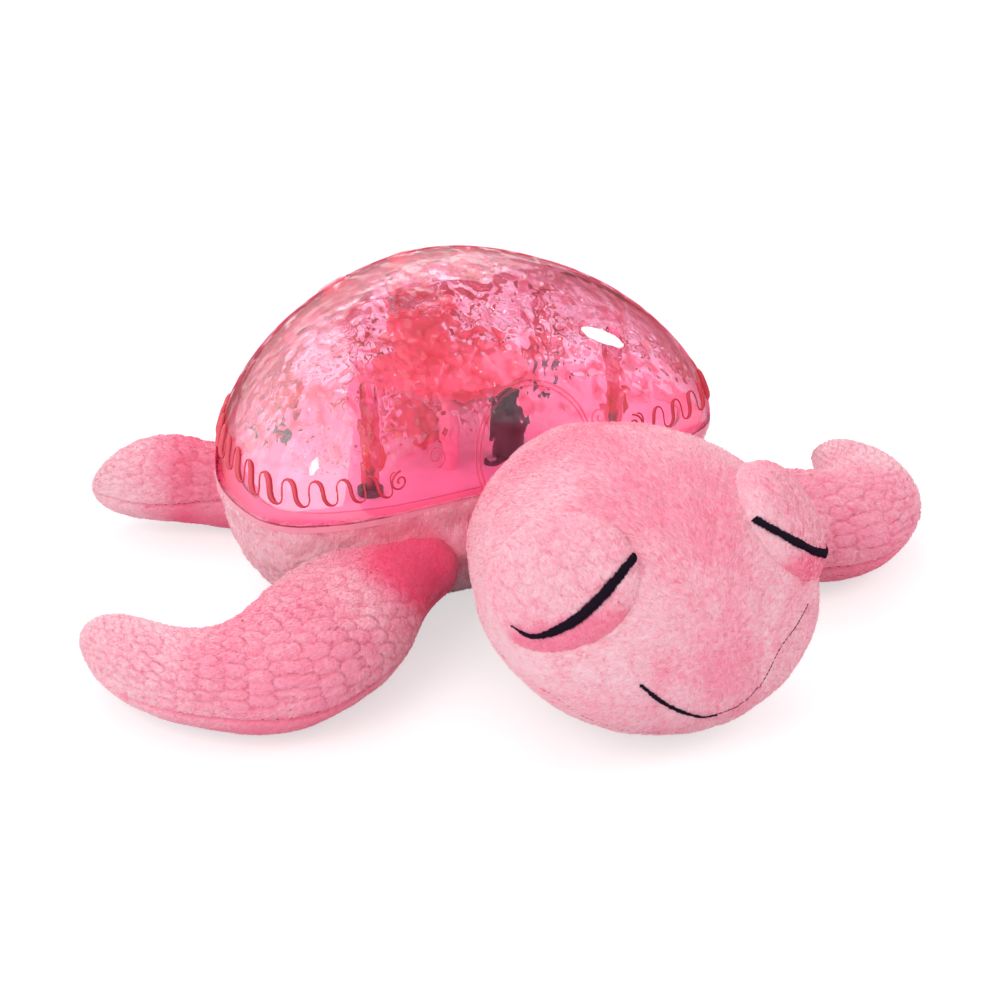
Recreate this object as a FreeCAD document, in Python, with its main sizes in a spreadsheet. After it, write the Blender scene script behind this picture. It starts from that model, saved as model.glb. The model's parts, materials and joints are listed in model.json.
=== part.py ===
import FreeCAD, Part
import math
import os
from FreeCAD import Placement, Rotation, Vector

# Plush turtle night light: a soft turtle whose shell is a clear dome over a light unit.
# Millimetres, +Z up, head towards -Y, the turtle's left side towards +X.
# The origin lies under the middle of the whole toy, on the surface that it rests on.

SIZES = {
    # Shell outline, seen from above
    "shell_half_width": 108.0,
    "shell_front_reach": 43.0,
    "shell_back_reach": 94.0,
    "shell_widest_y": 38.0,
    "corner_square_x": 0.56,
    "corner_square_y": 0.34,
    # Clear dome
    "rim_z": 53.0,
    "dome_axis_y": 64.0,
    "dome_height": 77.0,
    "dome_wall": 2.4,
    "dome_fullness": 1.7,
    "post_radius": 3.6,
    "post_bore_depth": 10.0,
    "front_post_x": 57.0,
    "front_post_y": 19.0,
    "rear_post_x": 64.0,
    "rear_post_y": 88.0,
    "washer_radius": 5.2,
    "washer_thickness": 2.5,
    # Base housing
    "flange_thickness": 2.5,
    "tub_bottom_z": 16.0,
    "tub_top_share": 0.93,
    "tub_bottom_share": 0.72,
    "tub_wall": 2.2,
    "deck_thickness": 2.0,
    "deck_gap": 0.3,
    "tub_post_radius": 5.0,
    "screw_web": 4.0,
    "screw_radius": 1.5,
    "screw_head_radius": 2.8,
    "screw_head_height": 2.0,
    "screw_gap": 0.2,
    # Battery compartment
    "cell_radius": 7.25,
    "cell_length": 49.2,
    "cell_nub_radius": 2.75,
    "cell_nub_length": 1.3,
    "cell_gap": 0.6,
    "cell_lift": 0.3,
    "bay_half_length": 29.0,
    "bay_wall": 4.0,
    "bay_roof": 2.0,
    "door_thickness": 2.0,
    "door_ledge": 2.0,
    "door_gap": 0.3,
    "door_tab_radius": 5.5,
    "door_screw_radius": 1.25,
    "door_screw_length": 9.0,
    "contact_thickness": 0.5,
    # Plush form
    "soft_gap": 0.3,
    "head_half_width": 67.0,
    "head_height": 104.0,
    "head_front_y": -154.0,
    "head_back_y": -2.0,
    "shoulder_x": 60.0,
    "shoulder_y": 5.0,
    "front_flipper_reach": 111.0,
    "front_flipper_half_width": 34.0,
    "front_flipper_half_height": 21.5,
    "left_flipper_turn": -5.0,
    "hip_x": 56.0,
    "hip_y": 101.0,
    "rear_flipper_reach": 71.0,
    "rear_flipper_half_width": 21.0,
    "rear_flipper_half_height": 20.0,
    "eyelid_half_length": 28.0,
    "eyelid_half_width": 25.5,
    "eyelid_half_depth": 11.0,
    "eyelid_x": 49.0,
    "eyelid_y": -114.5,
    "eyelid_z": 72.0,
    # Belly window and its flap
    "window_half_width": 36.0,
    "window_front_y": 34.0,
    "window_back_y": 99.0,
    "flap_hinge_y": 28.0,
    "flap_length": 77.0,
    "flap_half_width": 41.0,
    "flap_thickness": 2.5,
    "flap_lift": 0.6,
    "flap_gap": 0.6,
    "strip_width": 4.6,
    "strip_thickness": 0.8,
    "strip_half_length": 32.0,
    "strip_gap": 0.1,
    # Light and ripple projector
    "light_x": -10.0,
    "light_y": 64.0,
    "light_to_disc": 16.0,
    "gear_line_turn": -65.0,
    "led_board_radius": 9.0,
    "led_board_thickness": 1.6,
    "led_base": 3.6,
    "led_base_height": 0.8,
    "led_dome_radius": 1.5,
    "barrel_radius": 11.0,
    "barrel_wall": 1.4,
    "barrel_height": 19.0,
    "collimator_height": 10.0,
    "disc_radius": 21.5,
    "disc_thickness": 2.0,
    "disc_lift": 24.5,
    "ripple_depth": 0.5,
    "ripple_pitch": 3.0,
    "hub_radius": 3.6,
    "hub_height": 5.0,
    "axle_radius": 1.5,
    "running_gap": 0.05,
    "gear_module": 0.8,
    "gear_teeth": 60,
    "pinion_teeth": 12,
    "gear_thickness": 4.0,
    "tooth_base_half": 0.62,
    "tooth_tip_half": 0.26,
    "pinion_base_half": 0.66,
    "pinion_tip_half": 0.2,
    "tooth_root_gap": 0.2,
    "frame_lift": 32.0,
    "frame_radius": 33.0,
    "frame_thickness": 2.5,
    "frame_leg_radius": 3.0,
    "frame_leg_circle": 29.5,
    "frame_screw_depth": 8.0,
    "lens_radius": 12.0,
    "lens_tube_wall": 2.0,
    "lens_tube_height": 23.0,
    "lens_seat_depth": 4.0,
    "lens_seat_width": 1.2,
    "lens_crown": 3.0,
    # Gear motor
    "motor_radius": 6.5,
    "motor_height": 21.0,
    "motor_ear_reach": 10.6,
    "motor_ear_thickness": 1.5,
    "motor_ear_radius": 3.2,
    "motor_turn": 22.0,
    "shaft_radius": 1.0,
    # Loudspeaker
    "speaker_edge_gap": 50.0,
    "speaker_y": 60.0,
    "speaker_radius": 20.0,
    "speaker_depth": 12.0,
    "speaker_flange": 1.2,
    "magnet_radius": 11.0,
    "magnet_height": 6.5,
    "grille_hole_radius": 1.4,
    "grille_pitch": 5.5,
    # Circuit board
    "board_x": 51.0,
    "board_y": 57.0,
    "board_length": 46.0,
    "board_width": 30.0,
    "board_thickness": 1.6,
    "board_z": 30.0,
    "standoff_radius": 2.6,
    "small_screw_radius": 1.0,
    "small_screw_head": 2.0,
    # Push buttons on the back of the dome
    "button_y": 96.0,
    "button_spacing": 33.0,
    "button_radius": 8.0,
    "button_gap": 0.3,
    "button_stand": 0.6,
    "button_flange_width": 1.3,
    "button_flange_thickness": 1.2,
    "button_travel": 1.5,
    "well_wall": 1.8,
    "well_depth": 14.0,
    "switch_half": 3.0,
    "switch_height": 3.4,
    "switch_plunger": 1.4,
    # Leads
    "lead_radius": 0.8,
    "lead_gap": 0.2,
}

doc = FreeCAD.newDocument("TurtleNightLight")
sheet = doc.addObject("Spreadsheet::Sheet", "Sizes")
for row, (size_name, size_value) in enumerate(SIZES.items(), 1):
    sheet.set(f"A{row}", size_name)
    sheet.set(f"B{row}", str(size_value))
    sheet.setAlias(f"B{row}", size_name)
doc.recompute()


class Size:
    """A length as a number, together with the expression that gives it."""

    def __init__(self, text, number):
        self.text = text
        self.number = float(number)

    def __float__(self):
        return self.number

    def __add__(self, other):
        return join(self, "+", other)

    def __radd__(self, other):
        return join(other, "+", self)

    def __sub__(self, other):
        return join(self, "-", other)

    def __rsub__(self, other):
        return join(other, "-", self)

    def __mul__(self, other):
        return join(self, "*", other)

    def __rmul__(self, other):
        return join(other, "*", self)

    def __truediv__(self, other):
        return join(self, "/", other)

    def __neg__(self):
        return join(0, "-", self)


def as_size(value):
    return value if isinstance(value, Size) else Size(repr(float(value)), value)


def join(first, sign, second):
    first = as_size(first)
    second = as_size(second)
    a, b = first.number, second.number
    number = {"+": a + b, "-": a - b, "*": a * b, "/": a / b if b else 0.0}[sign]
    return Size(f"({first.text} {sign} {second.text})", number)


def cos_of(turn):
    return Size(f"cos({turn.text} * 1 deg)", math.cos(math.radians(turn.number)))


def sin_of(turn):
    return Size(f"sin({turn.text} * 1 deg)", math.sin(math.radians(turn.number)))


class Named:
    """The driving sizes by name."""

    def __getattr__(self, name):
        return Size("Sizes." + name, SIZES[name])


v = Named()
NODES = []


def sub_part(item, label):
    item.Label = label
    NODES.append(label)
    return item


def number(value):
    return float(value)


def bind(item, **values):
    for name, value in values.items():
        value = as_size(value)
        item.setExpression(name, value.text)


def place(item, at=(0, 0, 0), turn=None):
    item.Placement = Placement(Vector(*[number(c) for c in at]), turn or Rotation())
    for axis, value in zip("xyz", at):
        if isinstance(value, Size):
            item.setExpression(".Placement.Base." + axis, value.text)
    return item


def box(at, length, width, height):
    item = doc.addObject("Part::Box", "Block")
    bind(item, Length=length, Width=width, Height=height)
    return place(item, at)


def cylinder(at, radius, height, turn=None):
    item = doc.addObject("Part::Cylinder", "Round")
    bind(item, Radius=radius, Height=height)
    return place(item, at, turn)


def fused(items):
    item = doc.addObject("Part::MultiFuse", "Joined")
    item.Shapes = items
    return item


def cut(base, tools):
    tool = tools[0] if len(tools) == 1 else fused(tools)
    item = doc.addObject("Part::Cut", "Trimmed")
    item.Base = base
    item.Tool = tool
    return item


def group(items):
    item = doc.addObject("Part::Compound", "Group")
    item.Links = items
    return item


def feature(shape, label, placement=None):
    item = doc.addObject("Part::Feature", "Form")
    item.Shape = shape
    if placement:
        item.Placement = placement
    return sub_part(item, label)


# Sketched bodies


def new_body(label):
    return sub_part(doc.addObject("PartDesign::Body", "Body"), label)


def sketch_on(body, role, lift=None):
    sketch = body.newObject("Sketcher::SketchObject", "Sketch")
    plane = [f for f in body.Origin.OriginFeatures if f.Role == role][0]
    sketch.AttachmentSupport = (plane, [""])
    sketch.MapMode = "FlatFace"
    if lift is not None:
        sketch.setExpression(".AttachmentOffset.Base.z", as_size(lift).text)
    return sketch


def pin_point(sketch, geometry, point, across, up):
    import Sketcher

    for kind, value, axis in (("DistanceX", across, -2), ("DistanceY", up, -1)):
        value = as_size(value)
        if abs(value.number) < 1e-9:
            sketch.addConstraint(Sketcher.Constraint("PointOnObject", geometry, point, axis))
            continue
        place_of = sketch.addConstraint(
            Sketcher.Constraint(kind, -1, 1, geometry, point, value.number)
        )
        sketch.setExpression(f"Constraints[{place_of}]", value.text)


def draw_polygon(sketch, points):
    import Sketcher

    corners = [Vector(number(x), number(y), 0) for x, y in points]
    first = sketch.GeometryCount
    count = len(points)
    for i in range(count):
        sketch.addGeometry(Part.LineSegment(corners[i], corners[(i + 1) % count]), False)
    for i in range(count):
        following = first + (i + 1) % count
        sketch.addConstraint(Sketcher.Constraint("Coincident", first + i, 2, following, 1))
    for i, (x, y) in enumerate(points):
        pin_point(sketch, first + i, 1, x, y)
    return sketch


def draw_circle(sketch, x, y, radius):
    import Sketcher

    radius = as_size(radius)
    circle = Part.Circle(Vector(number(x), number(y), 0), Vector(0, 0, 1), radius.number)
    index = sketch.addGeometry(circle, False)
    pin_point(sketch, index, 3, x, y)
    place_of = sketch.addConstraint(Sketcher.Constraint("Radius", index, radius.number))
    sketch.setExpression(f"Constraints[{place_of}]", radius.text)
    return sketch


def pad(body, sketch, length):
    item = body.newObject("PartDesign::Pad", "Pad")
    item.Profile = sketch
    item.setExpression("Length", as_size(length).text)
    sketch.Visibility = False
    return item


def revolved_body(label, outline):
    """A turned piece: the outline's points are (radius, height) about the body's own Z axis."""
    body = new_body(label)
    sketch = draw_polygon(sketch_on(body, "XZ_Plane"), outline)
    item = body.newObject("PartDesign::Revolution", "Turned")
    item.Profile = sketch
    item.ReferenceAxis = (sketch, ["V_Axis"])
    item.Angle = 360.0
    return body


def rounded_plate(label, at, length, width, thickness, corner):
    """A flat plate with rounded upright corners, placed by its lower left corner."""
    body = new_body(label)
    corners = [(0, 0), (length, 0), (length, width), (0, width)]
    plate = pad(body, draw_polygon(sketch_on(body, "XY_Plane"), corners), thickness)
    doc.recompute()
    upright = []
    for i, edge in enumerate(plate.Shape.Edges, 1):
        start, end = edge.Vertexes[0].Point, edge.Vertexes[-1].Point
        if abs(start.z - end.z) > 1e-6:
            upright.append(f"Edge{i}")
    fillet = body.newObject("PartDesign::Fillet", "Corners")
    fillet.Base = (plate, upright)
    bind(fillet, Radius=corner)
    return place(body, at)


def screw_set(label, places, seat_z, head_radius, head_height, shank_radius, shank_length):
    """Pan head screws that point up, with the heads under the seat height."""
    screws = []
    for x, y in places:
        head = cylinder((x, y, seat_z - head_height), head_radius, head_height)
        shank = cylinder((x, y, seat_z), shank_radius, shank_length)
        screws.append(fused([head, shank]))
    return sub_part(group(screws), label)


# Outlines and lofts of the shell


def signed_power(base, exponent):
    return math.copysign(abs(base) ** exponent, base)


def outline_point(share, turn, grow):
    across, along = math.cos(turn), math.sin(turn)
    half_width = number(v.shell_half_width) + grow
    if along < 0:
        square = share**5
        x = half_width * signed_power(across, 1 - number(v.corner_square_x) * square)
        depth = number(v.shell_front_reach) + grow
        y = depth * signed_power(along, 1 - number(v.corner_square_y) * square)
    else:
        x = half_width * across
        y = (number(v.shell_back_reach) + grow) * along
    axis_y = number(v.dome_axis_y)
    return share * x, axis_y + share * (number(v.shell_widest_y) + y - axis_y)


def arc_loop(points):
    """A closed wire of arcs, each through three points in turn."""
    count = len(points)
    arcs = []
    for i in range(0, count, 2):
        arcs.append(Part.Arc(points[i], points[i + 1], points[(i + 2) % count]).toShape())
    return Part.Wire(arcs)


RING_POINTS = 24


def ring(share, grow, z):
    points = []
    for i in range(RING_POINTS):
        turn = math.radians(-105 + i * 360 / RING_POINTS)
        x, y = outline_point(share, turn, grow)
        points.append(Vector(x, y, z))
    return arc_loop(points)


def prism(share, grow, low_z, high_z):
    return Part.Face(ring(share, grow, low_z)).extrude(Vector(0, 0, high_z - low_z))


def dome_rise(share, height):
    return height * math.sqrt(1 - share ** number(v.dome_fullness))


DOME_SHARES = (1.0, 0.985, 0.94, 0.86, 0.75, 0.6, 0.42, 0.24, 0.08)


def dome_form(grow, ruled=False):
    height = number(v.dome_height) + grow
    rim = number(v.rim_z)
    rings = [ring(share, grow, rim + dome_rise(share, height)) for share in DOME_SHARES]
    return Part.makeLoft(rings, True, ruled)


def share_at(x, y):
    """The share of the outline that passes through a point, found by halving."""
    low, high = 0.001, 1.2
    for _ in range(40):
        share = (low + high) / 2
        across = abs(x) / share / number(v.shell_half_width)
        axis_y = number(v.dome_axis_y)
        along = (y - axis_y) / share + axis_y - number(v.shell_widest_y)
        if along < 0:
            square = share**5
            inside = across ** (2 / (1 - number(v.corner_square_x) * square))
            depth = abs(along) / number(v.shell_front_reach)
            inside += depth ** (2 / (1 - number(v.corner_square_y) * square))
        else:
            inside = across**2 + (along / number(v.shell_back_reach)) ** 2
        if inside > 1:
            low = share
        else:
            high = share
    return (low + high) / 2


def dome_point(x, y):
    return Vector(x, y, number(v.rim_z) + dome_rise(share_at(x, y), number(v.dome_height)))


def dome_normal(x, y):
    step = 0.5
    slope_x = (dome_point(x + step, y).z - dome_point(x - step, y).z) / (2 * step)
    slope_y = (dome_point(x, y + step).z - dome_point(x, y - step).z) / (2 * step)
    normal = Vector(-slope_x, -slope_y, 1)
    return normal.normalize()


# Heights and places that several pieces share

flange_bottom = v.rim_z - v.flange_thickness
deck_bottom = v.rim_z - v.deck_thickness
washer_top = v.rim_z + v.washer_thickness
tub_floor_z = v.tub_bottom_z + v.tub_wall
bay_y = v.dome_axis_y
cell_pitch = 2 * v.cell_radius + v.cell_gap
bay_half_width = 1.5 * cell_pitch + 0.2
cell_z = v.tub_bottom_z + v.door_thickness + v.cell_lift + v.cell_radius
bay_top = cell_z + v.cell_radius + v.cell_lift
body_top = flange_bottom - v.soft_gap

disc_x = v.light_x + v.light_to_disc * cos_of(v.gear_line_turn)
disc_y = v.light_y + v.light_to_disc * sin_of(v.gear_line_turn)
gear_pitch_radius = v.gear_module * v.gear_teeth / 2
pinion_pitch_radius = v.gear_module * v.pinion_teeth / 2
gear_distance = gear_pitch_radius + pinion_pitch_radius
motor_x = disc_x + gear_distance * cos_of(v.gear_line_turn)
motor_y = disc_y + gear_distance * sin_of(v.gear_line_turn)
disc_z = v.rim_z + v.disc_lift
frame_z = v.rim_z + v.frame_lift
disc_bore = v.axle_radius + v.running_gap

SHELL_POSTS = [
    (side * x, y)
    for x, y in ((v.front_post_x, v.front_post_y), (v.rear_post_x, v.rear_post_y))
    for side in (-1, 1)
]
FRAME_LEG_TURNS = (37, 157, 240)
FRAME_LEGS = [
    (
        disc_x + v.frame_leg_circle * math.cos(math.radians(turn)),
        disc_y + v.frame_leg_circle * math.sin(math.radians(turn)),
    )
    for turn in FRAME_LEG_TURNS
]
MOTOR_EARS = [
    (
        motor_x + side * v.motor_ear_reach * cos_of(v.motor_turn),
        motor_y + side * v.motor_ear_reach * sin_of(v.motor_turn),
    )
    for side in (-1, 1)
]
speaker_x = v.speaker_edge_gap - v.shell_half_width
SPEAKER_SCREW_TURNS = (80, 200, 320)
speaker_screw_circle = v.speaker_radius + v.standoff_radius + v.deck_gap
SPEAKER_SCREWS = [
    (
        speaker_x + speaker_screw_circle * math.cos(math.radians(turn)),
        v.speaker_y + speaker_screw_circle * math.sin(math.radians(turn)),
    )
    for turn in SPEAKER_SCREW_TURNS
]
BOARD_HOLE_INSET = 3.2
BOARD_HOLES = [
    (
        v.board_x + side_x * (v.board_width / 2 - BOARD_HOLE_INSET),
        v.board_y + side_y * (v.board_length / 2 - BOARD_HOLE_INSET),
    )
    for side_x in (-1, 1)
    for side_y in (-1, 1)
]
BUTTONS = {
    "light_button": -v.button_spacing,
    "sound_button": 0 * v.button_spacing,
    "volume_button": v.button_spacing,
}


def button_seat(x):
    """Where a button's own frame sits on the dome, with its Z axis along the normal."""
    x, y = number(x), number(v.button_y)
    return Placement(dome_point(x, y), Rotation(Vector(0, 0, 1), dome_normal(x, y)))


# Clear dome with its screw posts and button wells

button_hole_radius = v.button_radius + v.button_gap
well_radius = v.button_radius + v.button_flange_width + v.button_gap


def make_shell_dome():
    outer = dome_form(0)
    inner = dome_form(-number(v.dome_wall))
    dome = outer.cut(inner)
    foot = number(washer_top)
    for x, y in SHELL_POSTS:
        post = Part.makeCylinder(
            number(v.post_radius),
            number(v.dome_height),
            Vector(number(x), number(y), foot),
        )
        dome = dome.fuse(post.common(outer))
    for x in BUTTONS.values():
        well = Part.makeCylinder(number(well_radius + v.well_wall), number(v.well_depth))
        well.translate(Vector(0, 0, -number(v.well_depth)))
        well.Placement = button_seat(x).multiply(well.Placement)
        dome = dome.fuse(well.common(outer))
    for x, y in SHELL_POSTS:
        bore = Part.makeCylinder(
            number(v.screw_radius),
            number(v.post_bore_depth),
            Vector(number(x), number(y), foot),
        )
        dome = dome.cut(bore)
    for x in BUTTONS.values():
        hole = Part.makeCylinder(number(button_hole_radius), 3 * number(v.dome_wall))
        hole.translate(Vector(0, 0, -1.5 * number(v.dome_wall)))
        well_top = number(v.dome_wall) + number(v.soft_gap)
        well = Part.makeCylinder(number(well_radius), number(v.well_depth) - well_top + 1)
        well.translate(Vector(0, 0, -number(v.well_depth) - 1))
        for tool in (hole, well):
            tool.Placement = button_seat(x).multiply(tool.Placement)
            dome = dome.cut(tool)
    return feature(dome.removeSplitter(), "shell_dome")


# Base housing: a tub with a flange, battery bay, screw posts and board standoffs


def tub_share(z, low_z, high_z):
    run = (z - low_z) / (high_z - low_z)
    low, high = number(v.tub_bottom_share), number(v.tub_top_share)
    return low + run * (high - low)


def tub_outer(grow):
    low = number(v.tub_bottom_z) - grow
    high = number(flange_bottom)
    rings = [
        ring(number(v.tub_bottom_share), grow, low),
        ring(number(v.tub_top_share), grow, high),
    ]
    return Part.makeLoft(rings, True, True)


def tub_inner():
    wall = -number(v.tub_wall)
    rings = [
        ring(number(v.tub_bottom_share), wall, number(tub_floor_z)),
        ring(number(v.tub_top_share), wall, number(v.rim_z)),
    ]
    return Part.makeLoft(rings, True, True)


def solid_box(x_half, y_low, y_high, z_low, z_high):
    size = (2 * number(x_half), number(y_high - y_low), number(z_high - z_low))
    corner = Vector(-number(x_half), number(y_low), number(z_low))
    return Part.makeBox(*size, corner)


def round_at(x, y, low_z, high_z, radius):
    low = number(low_z)
    corner = Vector(number(x), number(y), low)
    return Part.makeCylinder(number(radius), number(high_z) - low, corner)


door_half_length = v.bay_half_length + v.door_ledge
door_half_width = bay_half_width + v.door_ledge
door_screw_y = bay_y + door_half_width + 1.5
DOOR_BOSS_RADIUS = 3.4


def make_base_housing():
    shell = tub_outer(0).fuse(prism(1, 0, number(flange_bottom), number(v.rim_z)))
    room = tub_inner()
    shell = shell.cut(room)
    bay_out_x = v.bay_half_length + v.bay_wall
    bay_out_y = bay_half_width + v.bay_wall
    roof_top = bay_top + v.bay_roof
    inside = [
        solid_box(bay_out_x, bay_y - bay_out_y, bay_y + bay_out_y, tub_floor_z, roof_top),
        round_at(0, door_screw_y, tub_floor_z, tub_floor_z + v.door_screw_length, DOOR_BOSS_RADIUS),
    ]
    for x, y in SHELL_POSTS:
        inside.append(round_at(x, y, v.tub_bottom_z, deck_bottom, v.tub_post_radius))
    for x, y in BOARD_HOLES:
        inside.append(round_at(x, y, v.tub_bottom_z, v.board_z, v.standoff_radius))
    hull = tub_outer(0).fuse(prism(number(v.tub_top_share), 0, number(flange_bottom), number(v.rim_z)))
    for item in inside:
        shell = shell.fuse(item.common(hull))
    door_x = door_half_length + v.door_gap
    door_y = door_half_width + v.door_gap
    below = v.tub_bottom_z - 1
    tab_top = v.tub_bottom_z + v.door_thickness
    holes = [
        solid_box(v.bay_half_length, bay_y - bay_half_width, bay_y + bay_half_width, below, bay_top),
        solid_box(door_x, bay_y - door_y, bay_y + door_y, below, tab_top),
        round_at(0, door_screw_y, below, tab_top, v.door_tab_radius + v.door_gap),
        round_at(0, door_screw_y, below, tub_floor_z + v.door_screw_length, v.door_screw_radius + 0.02),
    ]
    for x, y in SHELL_POSTS:
        holes.append(round_at(x, y, below, deck_bottom - v.screw_web, v.screw_head_radius + 0.4))
        holes.append(round_at(x, y, below, v.rim_z, v.screw_radius + v.screw_gap))
    for x, y in BOARD_HOLES:
        holes.append(round_at(x, y, v.board_z - 6, v.board_z, v.small_screw_radius))
    for item in holes:
        shell = shell.cut(item)
    return feature(shell.removeSplitter(), "base_housing")


# Deck plate with bosses for what stands on it and hangs under it

DECK_BOSS_DEPTH = 6.0
LEAD_HOLE_RADIUS = 2.4
led_lead_hole = (v.light_x - 5, v.light_y)
motor_lead_hole = (motor_x, motor_y - 5)
button_lead_y = v.button_y - 2


def make_deck_plate():
    low, high = number(deck_bottom), number(v.rim_z)
    share = tub_share(low, number(tub_floor_z), high)
    deck = prism(share, -number(v.tub_wall + v.deck_gap), low, high)
    boss_bottom = deck_bottom - DECK_BOSS_DEPTH
    for x, y in MOTOR_EARS + [(disc_x, disc_y)]:
        deck = deck.fuse(round_at(x, y, boss_bottom, deck_bottom, v.standoff_radius + 0.6))
    for x, y in SPEAKER_SCREWS:
        foot = deck_bottom - v.speaker_flange
        deck = deck.fuse(round_at(x, y, foot, deck_bottom, v.standoff_radius))
        deck = deck.cut(round_at(x, y, foot, v.rim_z - 0.8, v.small_screw_radius))
    for x, y in MOTOR_EARS:
        deck = deck.cut(round_at(x, y, boss_bottom, v.rim_z, v.small_screw_radius))
    deck = deck.cut(round_at(disc_x, disc_y, boss_bottom + 1, v.rim_z, v.axle_radius + 0.02))
    for x, y in SHELL_POSTS:
        deck = deck.cut(round_at(x, y, deck_bottom, v.rim_z, v.screw_radius + v.screw_gap))
    for x, y in FRAME_LEGS:
        deck = deck.cut(round_at(x, y, deck_bottom, v.rim_z, v.small_screw_radius + v.screw_gap))
    lead_holes = [led_lead_hole, motor_lead_hole]
    lead_holes += [(x, button_lead_y) for x in BUTTONS.values()]
    for x, y in lead_holes:
        deck = deck.cut(round_at(x, y, deck_bottom, v.rim_z, LEAD_HOLE_RADIUS))
    grille = [(0, 0)]
    for circle, count in ((1, 6), (2, 12)):
        for i in range(count):
            turn = 2 * math.pi * i / count
            radius = circle * number(v.grille_pitch)
            grille.append((radius * math.cos(turn), radius * math.sin(turn)))
    for x, y in grille:
        hole = round_at(speaker_x + x, v.speaker_y + y, deck_bottom, v.rim_z, v.grille_hole_radius)
        deck = deck.cut(hole)
    return feature(deck, "deck_plate")


def make_shell_fasteners():
    seat = deck_bottom - v.screw_web
    length = washer_top + v.post_bore_depth - 1 - seat
    screw_set(
        "shell_screws",
        SHELL_POSTS,
        seat,
        v.screw_head_radius,
        v.screw_head_height,
        v.screw_radius - 0.02,
        length,
    )
    washers = []
    for x, y in SHELL_POSTS:
        disc = cylinder((x, y, v.rim_z), v.washer_radius, v.washer_thickness)
        hole = cylinder((x, y, v.rim_z), v.screw_radius + v.screw_gap, v.washer_thickness)
        washers.append(cut(disc, [hole]))
    sub_part(group(washers), "post_washers")


# Battery bay pieces


def make_battery_door():
    body = new_body("battery_door")
    x, y = door_half_length, door_half_width
    corners = [(-x, -y), (x, -y), (x, y), (-x, y)]
    plate = pad(body, draw_polygon(sketch_on(body, "XY_Plane"), corners), v.door_thickness)
    tab_y = door_screw_y - bay_y
    tab = draw_circle(sketch_on(body, "XY_Plane"), 0, tab_y, v.door_tab_radius)
    pad(body, tab, v.door_thickness)
    hole = draw_circle(sketch_on(body, "XY_Plane"), 0, tab_y, v.door_screw_radius + v.screw_gap)
    pocket = body.newObject("PartDesign::Pocket", "ScrewHole")
    pocket.Profile = hole
    pocket.Type = "ThroughAll"
    pocket.Midplane = True
    grips = sketch_on(body, "XY_Plane")
    for i in range(3):
        low = -y + 4 + 3 * i
        draw_polygon(grips, [(-10, low), (10, low), (10, low + 1.2), (-10, low + 1.2)])
    grooves = body.newObject("PartDesign::Pocket", "FingerGrooves")
    grooves.Profile = grips
    grooves.Length = 0.6
    grooves.Reversed = True
    doc.recompute()
    place(body, (0, bay_y, v.tub_bottom_z))
    return plate


def make_door_screw():
    screw_set(
        "battery_door_screw",
        [(0, door_screw_y)],
        v.tub_bottom_z,
        2.6,
        1.6,
        v.door_screw_radius,
        v.door_thickness + v.door_screw_length - 2.2,
    )


CELL_SIDES = ((-1, 1), (0, -1), (1, 1))


def make_battery_cells():
    """Three cells side by side, the middle one the other way round."""
    plate_face = v.bay_half_length - v.contact_thickness
    cells = []
    for row, side in CELL_SIDES:
        y = bay_y + row * cell_pitch
        along = Rotation(Vector(0, 1, 0), -90 * side)
        nub_end = side * (plate_face - 0.05)
        can_end = nub_end - side * v.cell_nub_length
        nub = cylinder((nub_end, y, cell_z), v.cell_nub_radius, v.cell_nub_length + 0.5, along)
        can = cylinder((can_end, y, cell_z), v.cell_radius, v.cell_length, along)
        cells.append(fused([nub, can]))
    sub_part(group(cells), "battery_cells")


def make_battery_contacts():
    plates = []
    springs = []
    low = v.tub_bottom_z + v.door_thickness + 1
    height = bay_top - low - 0.5
    for row, side in CELL_SIDES:
        y = bay_y + row * cell_pitch - 4.5
        plate_x = v.bay_half_length - v.contact_thickness
        if side < 0:
            plate_x = -v.bay_half_length
        plates.append(box((plate_x, y, low), v.contact_thickness, 9, height))
        springs.append(spring_leaf(row, side, low, height))
    sub_part(group(plates), "battery_plate_contacts")
    feature(Part.makeCompound(springs), "battery_spring_contacts")


def spring_leaf(row, side, low, height):
    """A bowed strip that stands on the bay's end wall and presses on the cell's flat end."""
    wall = number(v.bay_half_length)
    strip = number(v.contact_thickness)
    cell_end = wall - strip - 0.05 - number(v.cell_nub_length) - number(v.cell_length)
    tip = -cell_end + 0.05
    base_z, top_z, tip_z = number(low), number(low + height), number(cell_z)
    foot_z = base_z + 1.5
    points = [
        (wall, base_z),
        (wall, top_z),
        (wall - strip, top_z),
        (tip, tip_z + 0.6),
        (tip, tip_z - 0.6),
        (wall - 2.2, foot_z),
        (wall - 2.2 + strip, foot_z - strip),
        (tip + 1.6 * strip, tip_z),
        (wall - strip, top_z - 1.8),
        (wall - strip, base_z),
    ]
    y = number(bay_y + row * cell_pitch) - 4.5
    corners = [Vector(-side * x, y, z) for x, z in points]
    face = Part.Face(Part.makePolygon(corners + corners[:1]))
    return face.extrude(Vector(0, 9, 0))


# Light, ripple disc, gears and their frame


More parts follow.
